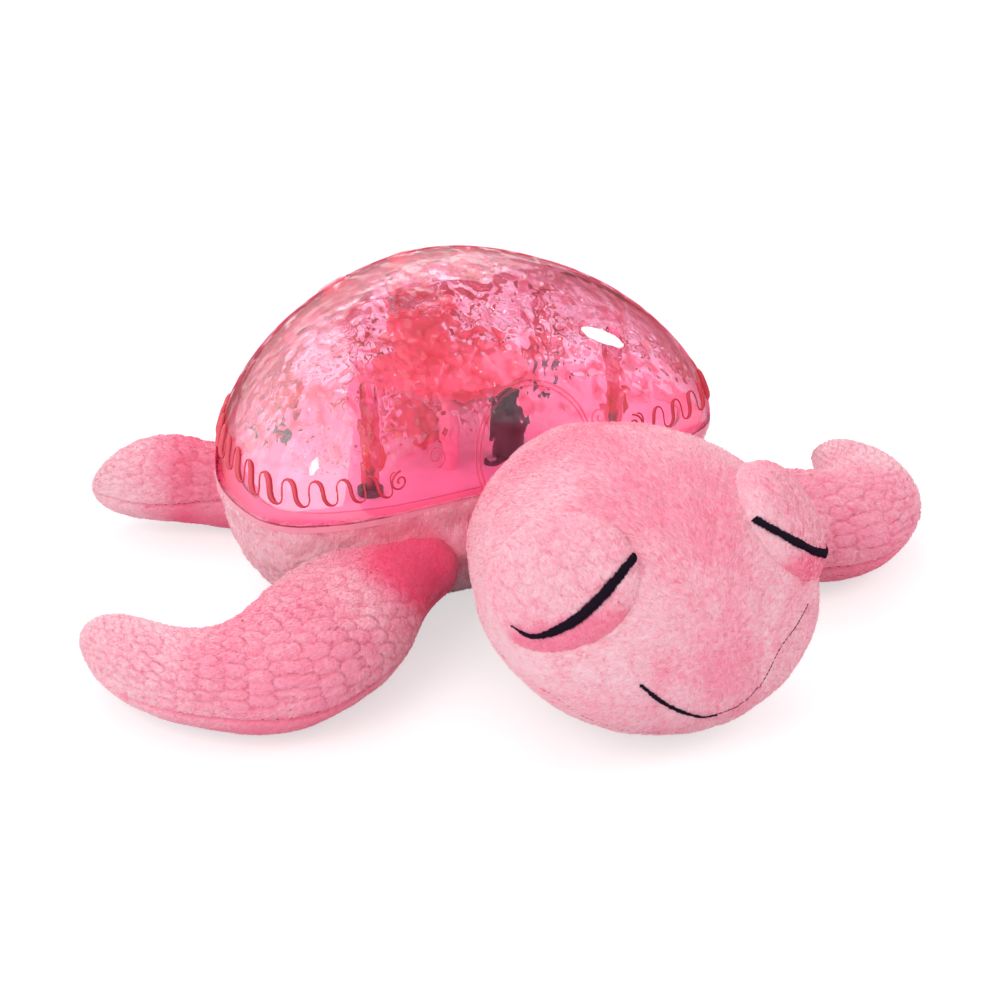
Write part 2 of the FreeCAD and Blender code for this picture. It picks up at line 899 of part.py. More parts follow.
def make_light():
    z = v.rim_z
    sub_part(cylinder((v.light_x, v.light_y, z), v.led_board_radius, v.led_board_thickness), "led_board")
    base_z = z + v.led_board_thickness
    half = v.led_base / 2
    base = box((v.light_x - half, v.light_y - half, base_z), v.led_base, v.led_base, v.led_base_height)
    dome = doc.addObject("Part::Sphere", "Round")
    bind(dome, Radius=v.led_dome_radius)
    dome.Angle1 = 0
    place(dome, (v.light_x, v.light_y, base_z + v.led_base_height))
    sub_part(fused([base, dome]), "led_emitter")
    outer = cylinder((v.light_x, v.light_y, z), v.barrel_radius, v.barrel_height)
    bore = cylinder((v.light_x, v.light_y, z), v.barrel_radius - v.barrel_wall, v.barrel_height)
    sub_part(cut(outer, [bore]), "light_barrel")
    seat = v.barrel_height - v.collimator_height
    rim = v.barrel_radius - v.barrel_wall - 0.05
    lens = revolved_body(
        "collimator_lens",
        [
            (0, 2),
            (3, 0),
            (rim, v.collimator_height - 2.5),
            (rim, v.collimator_height - 1),
            (0, v.collimator_height - 1),
        ],
    )
    place(lens, (v.light_x, v.light_y, z + seat))


def make_ripple_disc():
    top = v.disc_thickness
    outline = [(disc_bore, 0), (v.disc_radius, 0), (v.disc_radius, top)]
    waves = int(number(v.disc_radius - v.hub_radius - 1) / number(v.ripple_pitch))
    for i in range(waves):
        crest = v.disc_radius - v.ripple_pitch * (i + 0.5)
        outline.append((crest, top + v.ripple_depth))
        outline.append((crest - v.ripple_pitch / 2, top))
    outline += [(v.hub_radius, top), (v.hub_radius, v.hub_height), (disc_bore, v.hub_height)]
    disc = revolved_body("ripple_disc", outline)
    place(disc, (disc_x, disc_y, disc_z))


def make_gear(label, ring_in, root_radius, tip_radius, teeth, base_half, tip_half, thickness):
    """A spur gear: a plain ring, and one tooth repeated round it."""
    body = new_body(label)
    blank = sketch_on(body, "XY_Plane")
    draw_circle(blank, 0, 0, root_radius)
    draw_circle(blank, 0, 0, ring_in)
    pad(body, blank, thickness)
    inner = root_radius - 0.3
    tooth = draw_polygon(
        sketch_on(body, "XY_Plane"),
        [(inner, -base_half), (tip_radius, -tip_half), (tip_radius, tip_half), (inner, base_half)],
    )
    first = pad(body, tooth, thickness)
    pattern = body.newObject("PartDesign::PolarPattern", "Teeth")
    pattern.Originals = [first]
    pattern.Axis = (tooth, ["N_Axis"])
    pattern.Angle = 360
    bind(pattern, Occurrences=teeth)
    body.Tip = pattern
    return body


def make_gears():
    gear = make_gear(
        "ripple_gear",
        v.disc_radius + 0.1,
        gear_pitch_radius - v.gear_module - v.tooth_root_gap,
        gear_pitch_radius + v.gear_module,
        v.gear_teeth,
        v.tooth_base_half,
        v.tooth_tip_half,
        v.gear_thickness,
    )
    line = number(v.gear_line_turn)
    place(gear, (disc_x, disc_y, disc_z), Rotation(Vector(0, 0, 1), line))
    pinion = make_gear(
        "motor_pinion",
        v.shaft_radius + 0.02,
        pinion_pitch_radius - v.gear_module - v.tooth_root_gap,
        pinion_pitch_radius + v.gear_module,
        v.pinion_teeth,
        v.pinion_base_half,
        v.pinion_tip_half,
        v.gear_thickness + 2,
    )
    half_tooth = 180 / number(v.pinion_teeth)
    turn = Rotation(Vector(0, 0, 1), line + 180 + half_tooth)
    place(pinion, (motor_x, motor_y, disc_z - 1), turn)


def make_motor():
    centre = (motor_x, motor_y)
    can = cylinder(centre + (v.rim_z,), v.motor_radius, v.motor_height)
    neck = cylinder(centre + (v.rim_z + v.motor_height,), 3.5, 1.5)
    ear = v.motor_ear_radius
    bar = box((-v.motor_ear_reach, -ear, 0), 2 * v.motor_ear_reach, 2 * ear, v.motor_ear_thickness)
    place(bar, (0, 0, 0))
    bar_turn = Rotation(Vector(0, 0, 1), number(v.motor_turn))
    reach_x = v.motor_ear_reach * cos_of(v.motor_turn) - ear * sin_of(v.motor_turn)
    reach_y = v.motor_ear_reach * sin_of(v.motor_turn) + ear * cos_of(v.motor_turn)
    place(bar, (motor_x - reach_x, motor_y - reach_y, v.rim_z), bar_turn)
    pieces = [can, neck, bar]
    holes = [cylinder(centre + (v.rim_z + 8,), v.shaft_radius + v.running_gap, v.motor_height)]
    for x, y in MOTOR_EARS:
        pieces.append(cylinder((x, y, v.rim_z), ear, v.motor_ear_thickness))
        holes.append(cylinder((x, y, v.rim_z), v.small_screw_radius + v.screw_gap, v.motor_ear_thickness))
    sub_part(cut(fused(pieces), holes), "motor_body")
    shaft_low = v.rim_z + 9
    shaft_top = disc_z + v.gear_thickness + 2
    sub_part(cylinder(centre + (shaft_low,), v.shaft_radius, shaft_top - shaft_low), "motor_shaft")
    seat = v.rim_z + v.motor_ear_thickness
    screws = []
    for x, y in MOTOR_EARS:
        head = cylinder((x, y, seat), v.small_screw_head, 1.6)
        shank = cylinder((x, y, seat - 8), v.small_screw_radius - 0.02, 8)
        screws.append(fused([head, shank]))
    sub_part(group(screws), "motor_screws")


def make_frame():
    plate = cylinder((disc_x, disc_y, frame_z), v.frame_radius, v.frame_thickness)
    tube_radius = v.lens_radius + v.lens_tube_wall
    tube_height = v.frame_thickness + v.lens_tube_height
    tube = cylinder((v.light_x, v.light_y, frame_z), tube_radius, tube_height)
    legs = []
    bores = []
    leg_height = frame_z - v.rim_z
    for x, y in FRAME_LEGS:
        legs.append(cylinder((x, y, v.rim_z), v.frame_leg_radius, leg_height))
        bores.append(cylinder((x, y, v.rim_z), v.small_screw_radius, v.frame_screw_depth))
    throat = v.lens_radius - v.lens_seat_width
    seat_z = frame_z + tube_height - v.lens_seat_depth
    bores.append(cylinder((v.light_x, v.light_y, frame_z), throat, tube_height))
    bores.append(cylinder((v.light_x, v.light_y, seat_z), v.lens_radius, v.lens_seat_depth))
    bores.append(cylinder((disc_x, disc_y, frame_z), v.axle_radius + 0.02, v.frame_thickness))
    sub_part(cut(fused([plate, tube] + legs), bores), "projector_frame")
    screw_set(
        "frame_screws",
        FRAME_LEGS,
        deck_bottom,
        v.small_screw_head,
        1.4,
        v.small_screw_radius - 0.02,
        v.deck_thickness + v.frame_screw_depth - 0.5,
    )
    axle_low = deck_bottom - DECK_BOSS_DEPTH + 1
    axle_top = frame_z + v.frame_thickness
    sub_part(cylinder((disc_x, disc_y, axle_low), v.axle_radius, axle_top - axle_low), "disc_axle")
    collar_low = v.rim_z
    collar = cylinder((disc_x, disc_y, collar_low), v.hub_radius, disc_z - collar_low - 0.3)
    hole = cylinder((disc_x, disc_y, collar_low), v.axle_radius + 0.02, disc_z - collar_low)
    sub_part(cut(collar, [hole]), "axle_spacer")
    edge = v.lens_seat_depth - 0.5
    crown = v.lens_crown
    radius = v.lens_radius - 0.05
    lens = revolved_body(
        "projection_lens",
        [
            (0, 0),
            (radius, 0),
            (radius, edge - 1),
            (radius * 0.85, edge - 1 + crown * 0.45),
            (radius * 0.6, edge - 1 + crown * 0.75),
            (radius * 0.3, edge - 1 + crown * 0.94),
            (0, edge - 1 + crown),
        ],
    )
    place(lens, (v.light_x, v.light_y, seat_z))


# Loudspeaker under the deck


def make_speaker():
    radius, depth, flange = v.speaker_radius, v.speaker_depth, v.speaker_flange
    wall = 1.0
    frame = revolved_body(
        "speaker_frame",
        [
            (radius, 0),
            (radius, -flange),
            (radius - 2, -flange),
            (v.magnet_radius, -depth),
            (4, -depth),
            (4, -depth + wall),
            (v.magnet_radius - wall, -depth + wall),
            (radius - 3.2, -flange),
            (radius - 3.2, 0),
        ],
    )
    place(frame, (speaker_x, v.speaker_y, deck_bottom))
    magnet = cylinder((0, 0, 0), v.magnet_radius, v.magnet_height)
    place(magnet, (speaker_x, v.speaker_y, deck_bottom - depth - v.magnet_height))
    sub_part(magnet, "speaker_magnet")
    paper = 0.4
    edge = radius - 3.4
    cone_piece = revolved_body(
        "speaker_cone",
        [
            (0, -depth * 0.5),
            (4, -depth * 0.62),
            (edge, -1.4),
            (edge, -1.4 + paper),
            (4, -depth * 0.62 + paper * 1.5),
            (0, -depth * 0.5 + paper),
        ],
    )
    place(cone_piece, (speaker_x, v.speaker_y, deck_bottom))
    screw_set(
        "speaker_screws",
        SPEAKER_SCREWS,
        deck_bottom - v.speaker_flange,
        v.small_screw_head + 2.2,
        1.2,
        v.small_screw_radius - 0.02,
        v.speaker_flange + v.deck_thickness - 0.9,
    )


# Main circuit board


def make_board():
    corner = (v.board_x - v.board_width / 2, v.board_y - v.board_length / 2, v.board_z)
    blank = box(corner, v.board_width, v.board_length, v.board_thickness)
    holes = []
    for x, y in BOARD_HOLES:
        hole_radius = v.small_screw_radius + v.screw_gap
        holes.append(cylinder((x, y, v.board_z), hole_radius, v.board_thickness))
    sub_part(cut(blank, holes), "main_board")
    top = v.board_z + v.board_thickness
    chip = box((v.board_x - 5, v.board_y - 5, top), 10, 10, 1.5)
    memory = box((v.board_x - 3, v.board_y + 9, top), 6, 5, 1.5)
    sub_part(group([chip, memory]), "board_chips")
    capacitors = [cylinder((v.board_x + x, v.board_y - 12, top), 2.6, 7) for x in (-4, 4)]
    sub_part(group(capacitors), "board_capacitors")
    sockets = [box((x - 2.5, y - 3, top), 5, 6, 5) for x, y in BOARD_SOCKETS.values()]
    sub_part(group(sockets), "board_sockets")
    screws = []
    for x, y in BOARD_HOLES:
        head = cylinder((x, y, top), v.small_screw_head, 1.4)
        shank = cylinder((x, y, v.board_z - 5), v.small_screw_radius - 0.02, v.board_thickness + 5)
        screws.append(fused([head, shank]))
    sub_part(group(screws), "board_screws")


socket_x = v.board_x - v.board_width / 2 + 3.5
BOARD_SOCKETS = {
    "motor": (socket_x, v.board_y - 13),
    "battery": (socket_x, v.board_y - 6),
    "led": (socket_x, v.board_y + 1),
    "speaker": (socket_x, v.board_y + 8),
    "button": (v.board_x + v.board_width / 2 - 4, v.board_y + 10),
}


# Push buttons, each in its own well on the back of the dome

switch_base = -(v.well_depth)
flange_top = -(v.dome_wall + v.soft_gap * 3)


def make_buttons():
    flange_low = flange_top - v.button_flange_thickness
    stem_low = switch_base + v.switch_height + v.switch_plunger + v.button_travel + 0.3
    for label, x in BUTTONS.items():
        cap = revolved_body(
            label,
            [
                (0, stem_low),
                (2, stem_low),
                (2, flange_low + 1),
                (v.button_radius - 1.4, flange_low + 1),
                (v.button_radius - 1.4, flange_low),
                (v.button_radius + v.button_flange_width, flange_low),
                (v.button_radius + v.button_flange_width, flange_top),
                (v.button_radius, flange_top),
                (v.button_radius, v.button_stand - 1.0),
                (v.button_radius - 0.8, v.button_stand - 0.2),
                (v.button_radius - 2.4, v.button_stand + 0.2),
                (0, v.button_stand + 0.5),
            ],
        )
        cap.Placement = button_seat(x)
    boards = []
    switches = []
    for x in BUTTONS.values():
        seat = button_seat(x)
        depth = -number(v.well_depth)
        half = number(v.switch_half)
        board = Part.makeCylinder(number(well_radius + v.well_wall), 1.2, Vector(0, 0, depth - 1.2))
        case = Part.makeBox(2 * half, 2 * half, number(v.switch_height), Vector(-half, -half, depth))
        plunger = Part.makeCylinder(
            1.6,
            number(v.switch_plunger),
            Vector(0, 0, depth + number(v.switch_height)),
        )
        switch = case.fuse(plunger)
        board.Placement = seat
        switch.Placement = seat
        boards.append(board)
        switches.append(switch)
    feature(Part.makeCompound(boards), "button_boards")
    feature(Part.makeCompound(switches), "button_switches")


# Leads between the boards: straight runs joined by tangent arcs


def lead_path(points):
    """The path through the points, its corners rounded as far as the runs beside them allow."""
    corners = [Vector(*[number(c) for c in point]) for point in points]
    edges = []
    radii = []
    start = corners[0]
    for i in range(1, len(corners) - 1):
        back = corners[i - 1] - corners[i]
        ahead = corners[i + 1] - corners[i]
        run = min(back.Length, ahead.Length)
        turn = math.pi - back.getAngle(ahead)
        setback = 0.45 * run
        radii.append(setback / math.tan(turn / 2))
        back.normalize()
        ahead.normalize()
        first = corners[i] + back * setback
        last = corners[i] + ahead * setback
        inward = (back + ahead).normalize()
        centre = corners[i] + inward * (radii[-1] / math.cos(turn / 2))
        middle = centre - inward * radii[-1]
        edges.append(Part.LineSegment(start, first).toShape())
        edges.append(Part.Arc(first, middle, last).toShape())
        start = last
    edges.append(Part.LineSegment(start, corners[-1]).toShape())
    return Part.Wire(edges), radii


def lead(points):
    path, radii = lead_path(points)
    start = path.Edges[0]
    direction = start.tangentAt(start.FirstParameter)
    radius = number(v.lead_radius)
    circle = Part.Wire(Part.makeCircle(radius, start.Vertexes[0].Point, direction))
    tube = path.makePipeShell([circle], True, False)
    section = math.pi * radius**2
    if abs(tube.Volume - section * path.Length) > 0.02 * section * path.Length:
        print("lead volume differs", round(tube.Volume, 1), round(section * path.Length, 1))
    print("lead length", round(path.Length, 1), "least radius", round(min(radii), 1))
    return tube


def lead_pair(label, points, side):
    """Two leads that run next to each other."""
    half = number(v.lead_radius + v.lead_gap / 2)
    tubes = []
    for sign in (-1, 1):
        shift = [sign * half * part for part in side]
        moved = [tuple(number(c) + s for c, s in zip(point, shift)) for point in points]
        tubes.append(lead(moved))
    feature(Part.makeCompound(tubes), label)


SOCKET_TOP = 5.0


def socket_entry(name):
    x, y = BOARD_SOCKETS[name]
    return (x, y, v.board_z + v.board_thickness + SOCKET_TOP)


def above(point, rise):
    return (point[0], point[1], point[2] + rise)


def make_leads():
    roof = bay_top + v.bay_roof
    over = roof + 5
    side = (0, 1, 0)
    battery = socket_entry("battery")
    tag_x = v.bay_half_length + v.bay_wall - 4
    tag = (tag_x - 6, battery[1] + 4, roof)
    lead_pair("battery_leads", [tag, above(tag, 7), above(battery, 7), battery], side)
    speaker = socket_entry("speaker")
    edge_x = speaker_x + v.magnet_radius + 1
    low = deck_bottom - v.speaker_depth - 2
    start = (edge_x, v.speaker_y + 6, low)
    lead_pair(
        "speaker_leads",
        [
            start,
            (edge_x + 8, v.speaker_y + 6, low),
            (edge_x + 20, speaker[1] + 1, over),
            (0, speaker[1], over),
            (speaker[0] - 8, speaker[1], speaker[2] + 5),
            above(speaker, 5),
            speaker,
        ],
        side,
    )
    led = socket_entry("led")
    top = (led_lead_hole[0], led_lead_hole[1], v.rim_z)
    lead_pair("led_leads", [top, above(top, -8), above(led, 7), led], side)
    motor = socket_entry("motor")
    top = (motor_lead_hole[0], motor_lead_hole[1], v.rim_z)
    lead_pair("motor_leads", [top, above(top, -11), above(motor, 7), motor], side)
    make_button_leads()


def make_button_leads():
    target = socket_entry("button")
    tubes = []
    for order, x in enumerate(BUTTONS.values()):
        seat = button_seat(x)
        depth = number(v.well_depth) + 1.2
        start = seat.multVec(Vector(0, 0, -depth))
        clear = seat.multVec(Vector(0, 0, -depth - 9))
        end = (target[0] + 1.8 * (order - 1), target[1], target[2])
        bend = above(end, 5.5 + 2 * (2 - order))
        points = [
            tuple(start),
            tuple(clear),
            (x, button_lead_y, v.rim_z + 6),
            (x, button_lead_y, bend[2]),
            bend,
            end,
        ]
        tubes.append(lead(points))
    feature(Part.makeCompound(tubes), "button_leads")


# Plush pieces

BODY_PROFILE = (
    (0.0, 0.72),
    (0.08, 0.79),
    (0.26, 0.88),
    (0.52, 0.95),
    (0.82, 0.99),
    (1.0, 0.98),
)
# Share of the head's length from its front, then its half width, top, bottom and widest height
HEAD_PROFILE = (
    (0.0, 0.06, 0.33, 0.22, 0.275),
    (0.013, 0.31, 0.43, 0.19, 0.28),
    (0.06, 0.58, 0.61, 0.115, 0.33),
    (0.13, 0.81, 0.76, 0.06, 0.38),
    (0.24, 0.97, 0.89, 0.03, 0.44),
    (0.39, 1.0, 0.99, 0.03, 0.48),
    (0.55, 0.9, 1.0, 0.04, 0.47),
    (0.72, 0.73, 0.93, 0.07, 0.44),
    (0.88, 0.54, 0.74, 0.12, 0.4),
    (1.0, 0.4, 0.4, 0.14, 0.27),
)
# Shares of the reach outwards and forwards, then height above the floor in half heights,
# half width and half height
FRONT_FLIPPER_PROFILE = (
    (-0.13, 0.1, 1.25, 0.7, 0.8),
    (0.0, 0.0, 1.21, 0.87, 0.93),
    (0.34, -0.27, 1.07, 1.0, 1.02),
    (0.66, -0.39, 0.98, 0.94, 1.0),
    (0.91, -0.2, 0.88, 0.68, 0.74),
    (1.0, 0.12, 0.79, 0.41, 0.56),
    (0.99, 0.26, 0.7, 0.21, 0.28),
    (0.98, 0.295, 0.68, 0.06, 0.08),
)
REAR_FLIPPER_PROFILE = (
    (0.0, 0.0, 1.2, 1.0, 1.0),
    (0.48, 0.37, 1.1, 1.0, 0.95),
    (0.85, 0.58, 1.05, 0.72, 0.75),
    (0.97, 0.66, 0.95, 0.33, 0.35),
    (1.0, 0.68, 0.95, 0.1, 0.1),
)
SOFT_POINTS = 16


def soft_ring(centre, across, up, half_width, rise, drop):
    """A closed section of arcs about a centre, with its own rise and drop."""
    points = []
    for i in range(SOFT_POINTS):
        turn = 2 * math.pi * (i + 0.5) / SOFT_POINTS
        height = rise if math.sin(turn) > 0 else drop
        points.append(
            centre + across * (half_width * math.cos(turn)) + up * (height * math.sin(turn))
        )
    return arc_loop(points)


def body_form():
    top = number(body_top)
    rings = [ring(share, 0, rise * top) for rise, share in BODY_PROFILE]
    return Part.makeLoft(rings, True)


def shell_room():
    """The space of the whole shell with a soft gap round it."""
    gap = number(v.soft_gap)
    skirt = prism(1, gap, number(flange_bottom) - gap, number(v.rim_z) + 1)
    return skirt.fuse(dome_form(gap, True))


def head_form():
    length = number(v.head_back_y - v.head_front_y)
    rings = []
    for run, wide, top, bottom, widest in HEAD_PROFILE:
        high = number(v.head_height)
        centre = Vector(0, number(v.head_front_y) + run * length, widest * high)
        half_width = wide * number(v.head_half_width)
        rise, drop = (top - widest) * high, (widest - bottom) * high
        rings.append(soft_ring(centre, Vector(1, 0, 0), Vector(0, 0, 1), half_width, rise, drop))
    return Part.makeLoft(rings, True)


def flipper_form(profile, root, side, reach, half_width, half_height, turn=0.0):
    centres = []
    for out, back, height, _, _ in profile:
        step = Vector(out * reach, back * reach, 0)
        step = Rotation(Vector(0, 0, 1), turn).multVec(step)
        centres.append(Vector(side * (root[0] + step.x), root[1] + step.y, height * half_height))
    rings = []
    for i, (_, _, _, wide, thick) in enumerate(profile):
        before = centres[max(i - 1, 0)]
        after = centres[min(i + 1, len(centres) - 1)]
        along = after - before
        along.z = 0
        along.normalize()
        across = Vector(0, 0, 1).cross(along)
        rise = thick * half_height
        rings.append(soft_ring(centres[i], across, Vector(0, 0, 1), wide * half_width, rise, rise))
    return Part.makeLoft(rings, True)


def below_floor(depth=20):
    span = 600
    return Part.makeBox(span, span, depth, Vector(-span / 2, -span / 2, -depth))


def belly_recess():
    half = v.flap_half_width + v.flap_gap
    front = v.flap_hinge_y - v.flap_gap
    back = v.flap_hinge_y + v.flap_length + v.flap_gap
    return solid_box(half, front, back, as_size(-1), strip_top)


flap_top = v.flap_lift + v.flap_thickness
strip_top = flap_top + 2 * v.strip_thickness + v.strip_gap


def make_plush():
    body = body_form()
    room = shell_room()
    pocket = tub_outer(number(v.soft_gap))
    window = solid_box(v.window_half_width, v.window_front_y, v.window_back_y, as_size(-1), v.rim_z)
    hollowed = body.cut(pocket).cut(window).cut(belly_recess())
    feature(hollowed, "plush_body")
    head = head_form().cut(body).cut(room)
    feature(head, "plush_head")
    taken = [body, room, head]
    front_root = (number(v.shoulder_x), number(v.shoulder_y))
    rear_root = (number(v.hip_x), number(v.hip_y))
    for side, name, turn in ((-1, "right", 0), (1, "left", number(v.left_flipper_turn))):
        front = flipper_form(
            FRONT_FLIPPER_PROFILE,
            front_root,
            side,
            number(v.front_flipper_reach),
            number(v.front_flipper_half_width),
            number(v.front_flipper_half_height),
            turn,
        )
        rear = flipper_form(
            REAR_FLIPPER_PROFILE,
            rear_root,
            side,
            number(v.rear_flipper_reach),
            number(v.rear_flipper_half_width),
            number(v.rear_flipper_half_height),
        )
        for form, label in ((front, "front"), (rear, "rear")):
            form = form.cut(below_floor())
            for larger in taken:
                form = form.cut(larger)
            feature(largest(form), f"{label}_{name}_flipper")
    make_eyelids(head_form())


def largest(shape):
    return max(shape.Solids, key=lambda solid: solid.Volume)


def make_eyelids(head):
    for side, name in ((-1, "right"), (1, "left")):
        centre = Vector(side * number(v.eyelid_x), number(v.eyelid_y), number(v.eyelid_z))
        outward = Vector(side * 0.62, -0.55, 0.56).normalize()
        mound = Part.makeSphere(1.0)
        stretch = FreeCAD.Matrix()
        stretch.scale(
            number(v.eyelid_half_length),
            number(v.eyelid_half_width),
            number(v.eyelid_half_depth),
        )
        mound = mound.transformGeometry(stretch)
        along = Vector(-side * 0.81, -0.52, 0.28)
        along = (along - outward * along.dot(outward)).normalize()
        third = outward.cross(along)
        frame = Rotation(along, third, outward, "XYZ")
        mound.Placement = Placement(centre, frame)
        feature(largest(mound.cut(head)), f"{name}_eyelid_patch")


def make_flap():
    half = v.flap_half_width
    rounded_plate(
        "belly_flap",
        (-half, v.flap_hinge_y, v.flap_lift),
        2 * half,
        v.flap_length,
        v.flap_thickness,
        5,
    )
    strip_y = v.flap_hinge_y + v.flap_length - v.strip_width - 0.6
    strip_x = -v.strip_half_length
    size = (2 * v.strip_half_length, v.strip_width, v.strip_thickness)
    rounded_plate("hook_strip", (strip_x, strip_y, flap_top), *size, 1)
    loop_z = flap_top + v.strip_thickness + v.strip_gap
    rounded_plate("loop_strip", (strip_x, strip_y, loop_z), *size, 1)


def make_all():
    make_plush()
    make_flap()
    make_shell_dome()
    make_base_housing()
    make_deck_plate()
    make_shell_fasteners()
    make_battery_door()
    make_door_screw()
    make_battery_cells()
    make_battery_contacts()
    make_light()
    make_ripple_disc()
    make_gears()
    make_motor()
    make_frame()
    make_speaker()
    make_board()
    make_buttons()
    make_leads()


def check_and_write():
    doc.recompute()
    faults = []
    for item in doc.Objects:
        if {"Invalid", "Error"} & set(item.State):
            faults.append(f"{item.Name} {item.State}")
    shapes = {}
    for label in NODES:
        shape = doc.getObjectsByLabel(label)[0].Shape
        if shape.isNull() or not shape.isValid() or not shape.Solids:
            faults.append(f"{label} has no sound shape")
        shapes[label] = shape
    if faults:
        raise RuntimeError("; ".join(faults))
    os.makedirs("parts", exist_ok=True)
    for label, shape in shapes.items():
        shape.exportStep(f"parts/{label}.step")
    print(len(shapes), "sub-parts written")


make_all()
check_and_write()
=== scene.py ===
import json
import math

import bmesh
import bpy
import numpy as np
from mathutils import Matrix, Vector, noise
from mathutils.bvhtree import BVHTree


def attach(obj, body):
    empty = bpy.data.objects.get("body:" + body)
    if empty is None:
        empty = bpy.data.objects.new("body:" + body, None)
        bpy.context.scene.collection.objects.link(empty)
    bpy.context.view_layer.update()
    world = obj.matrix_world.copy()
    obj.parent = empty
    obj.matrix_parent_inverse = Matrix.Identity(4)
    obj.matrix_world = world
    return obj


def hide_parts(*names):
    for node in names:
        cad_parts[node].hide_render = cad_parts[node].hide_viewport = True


MM = 0.001
POSTS = ((-57.0, 19.0), (57.0, 19.0), (-64.0, 88.0), (64.0, 88.0))
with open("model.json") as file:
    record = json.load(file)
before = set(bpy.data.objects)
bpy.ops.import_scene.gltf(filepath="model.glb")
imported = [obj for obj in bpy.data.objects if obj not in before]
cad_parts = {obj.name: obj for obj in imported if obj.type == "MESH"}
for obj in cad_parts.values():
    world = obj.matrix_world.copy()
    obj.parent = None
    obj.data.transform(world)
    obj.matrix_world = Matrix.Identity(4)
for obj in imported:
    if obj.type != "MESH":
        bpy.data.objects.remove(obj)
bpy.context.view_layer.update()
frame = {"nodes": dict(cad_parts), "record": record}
nodes = frame["nodes"]
scene = bpy.context.scene
scene.view_settings.view_transform = "Standard"


# Camera, light and floor

WORLD_LEVEL = 0.76
MIDDLE = Vector((0, 0.02, 0.06))
CAMERA_TURN, CAMERA_RISE = math.radians(-30), math.radians(26)
CAMERA_AIM, CAMERA_DISTANCE = Vector((0, 0.0158, 0.0385)), 1.07
PANEL_LEVEL = 3.6


def add_camera():
    flat = math.cos(CAMERA_RISE)
    back = Vector((math.sin(CAMERA_TURN) * flat, -math.cos(CAMERA_TURN) * flat, math.sin(CAMERA_RISE)))
    lens = bpy.data.cameras.new("photo_camera")
    lens.lens = 94.07
    lens.sensor_width = 36.0
    lens.clip_start = 0.05
    lens.clip_end = 20
    camera = bpy.data.objects.new("photo_camera", lens)
    camera.location = CAMERA_AIM + back * CAMERA_DISTANCE
    camera.rotation_euler = (-back).to_track_quat("-Z", "Y").to_euler()
    scene.collection.objects.link(camera)
    scene.camera = camera


def soft_box(name, place, width, height, watts, facing=None, shape="RECTANGLE"):
    lamp = bpy.data.lights.new(name, "AREA")
    lamp.shape = shape
    lamp.size, lamp.size_y = width, height
    lamp.energy = watts
    box = bpy.data.objects.new(name, lamp)
    box.location = place
    aim = MIDDLE - Vector(place) if facing is None else Vector(facing)
    box.rotation_euler = aim.to_track_quat("-Z", "Y").to_euler()
    scene.collection.objects.link(box)
    return box


def broad_lamp(name, place, width, height, watts):
    soft_box(name, place, width, height, watts).visible_glossy = False


def mirrored_panel(name, place, width, height, level, facing=None, shape="RECTANGLE"):
    """A panel that only gloss shows, as bright as white paper times its level."""
    watts = level * math.pi * width * height
    panel = soft_box(name, place, width, height, watts, facing, shape)
    panel.visible_diffuse = False
    panel.visible_transmission = False


def light_the_studio():
    """A soft white room with three broad lamps and the windows that the dome mirrors."""
    world = bpy.data.worlds.new("studio")
    scene.world = world
    world.use_nodes = True
    sky = Nodes(world.node_tree)
    shown = sky.ray("Camera").at_least(sky.ray("Glossy")).at_least(sky.ray("Transmission"))
    lit = sky.node("Background", None, {"Strength": WORLD_LEVEL})
    seen = sky.node("Background")
    sky.make("OutputWorld", None, {"Surface": sky.blend(shown, lit, seen)})
    broad_lamp("left_lamp", (-1.4, -0.5, 1.1), 1.0, 1.2, 10.5)
    broad_lamp("right_lamp", (1.1, -0.9, 1.2), 0.8, 0.9, 6.5)
    broad_lamp("back_lamp", (0.2, 1.1, 1.3), 1.4, 0.9, 7.5)
    level = PANEL_LEVEL
    mirrored_panel("left_panel", (-1.6, 0.2, 1.0), 3.6, 2.1, level, (1, 0, 0))
    mirrored_panel("front_panel", (-0.93, -1.6, 1.0), 1.35, 2.1, level, (0, 1, 0))
    mirrored_panel("back_panel", (0.1, 2.0, 1.0), 3.4, 2.1, 0.6 * level, (0, -1, 0))
    mirrored_panel("high_panel", (-0.93, 0.2, 2.05), 1.35, 3.6, 0.8 * level, (0, 0, -1))
    mirrored_panel("right_panel", (0.9, 1.3, 1.6), 1.2, 1.2, 0.8 * level)
    mirrored_panel("front_window", (-0.6, -0.86, 0.9), 0.2, 0.24, 9.0, shape="ELLIPSE")
    mirrored_panel("right_window", (1.25, -0.3, 1.05), 0.2, 0.26, 16.0, shape="ELLIPSE")


# Shaders


class Value:
    """One output of a node, which takes part in sums as a number does."""

    def __init__(self, nodes, socket):
        self.nodes = nodes
        self.socket = socket

    def sum(self, operation, first, second=0.0):
        return self.nodes.node("Math", {"operation": operation}, {0: first, 1: second})

    def __add__(self, other):
        return self.sum("ADD", self, other)

    __radd__ = __add__

    def __sub__(self, other):
        return self.sum("SUBTRACT", self, other)

    def __rsub__(self, other):
        return self.sum("SUBTRACT", other, self)

    def __mul__(self, other):
        return self.sum("MULTIPLY", self, other)

    __rmul__ = __mul__

    def __truediv__(self, other):
        return self.sum("DIVIDE", self, other)

    def at_most(self, other):
        return self.sum("MINIMUM", self, other)

    def at_least(self, other):
        return self.sum("MAXIMUM", self, other)

    def between(self, low, high):
        """0 at low, 1 at high, smooth from one to the other."""
        settings = {"interpolation_type": "SMOOTHSTEP"}
        return self.nodes.node("MapRange", settings, {0: self, 1: low, 2: high})


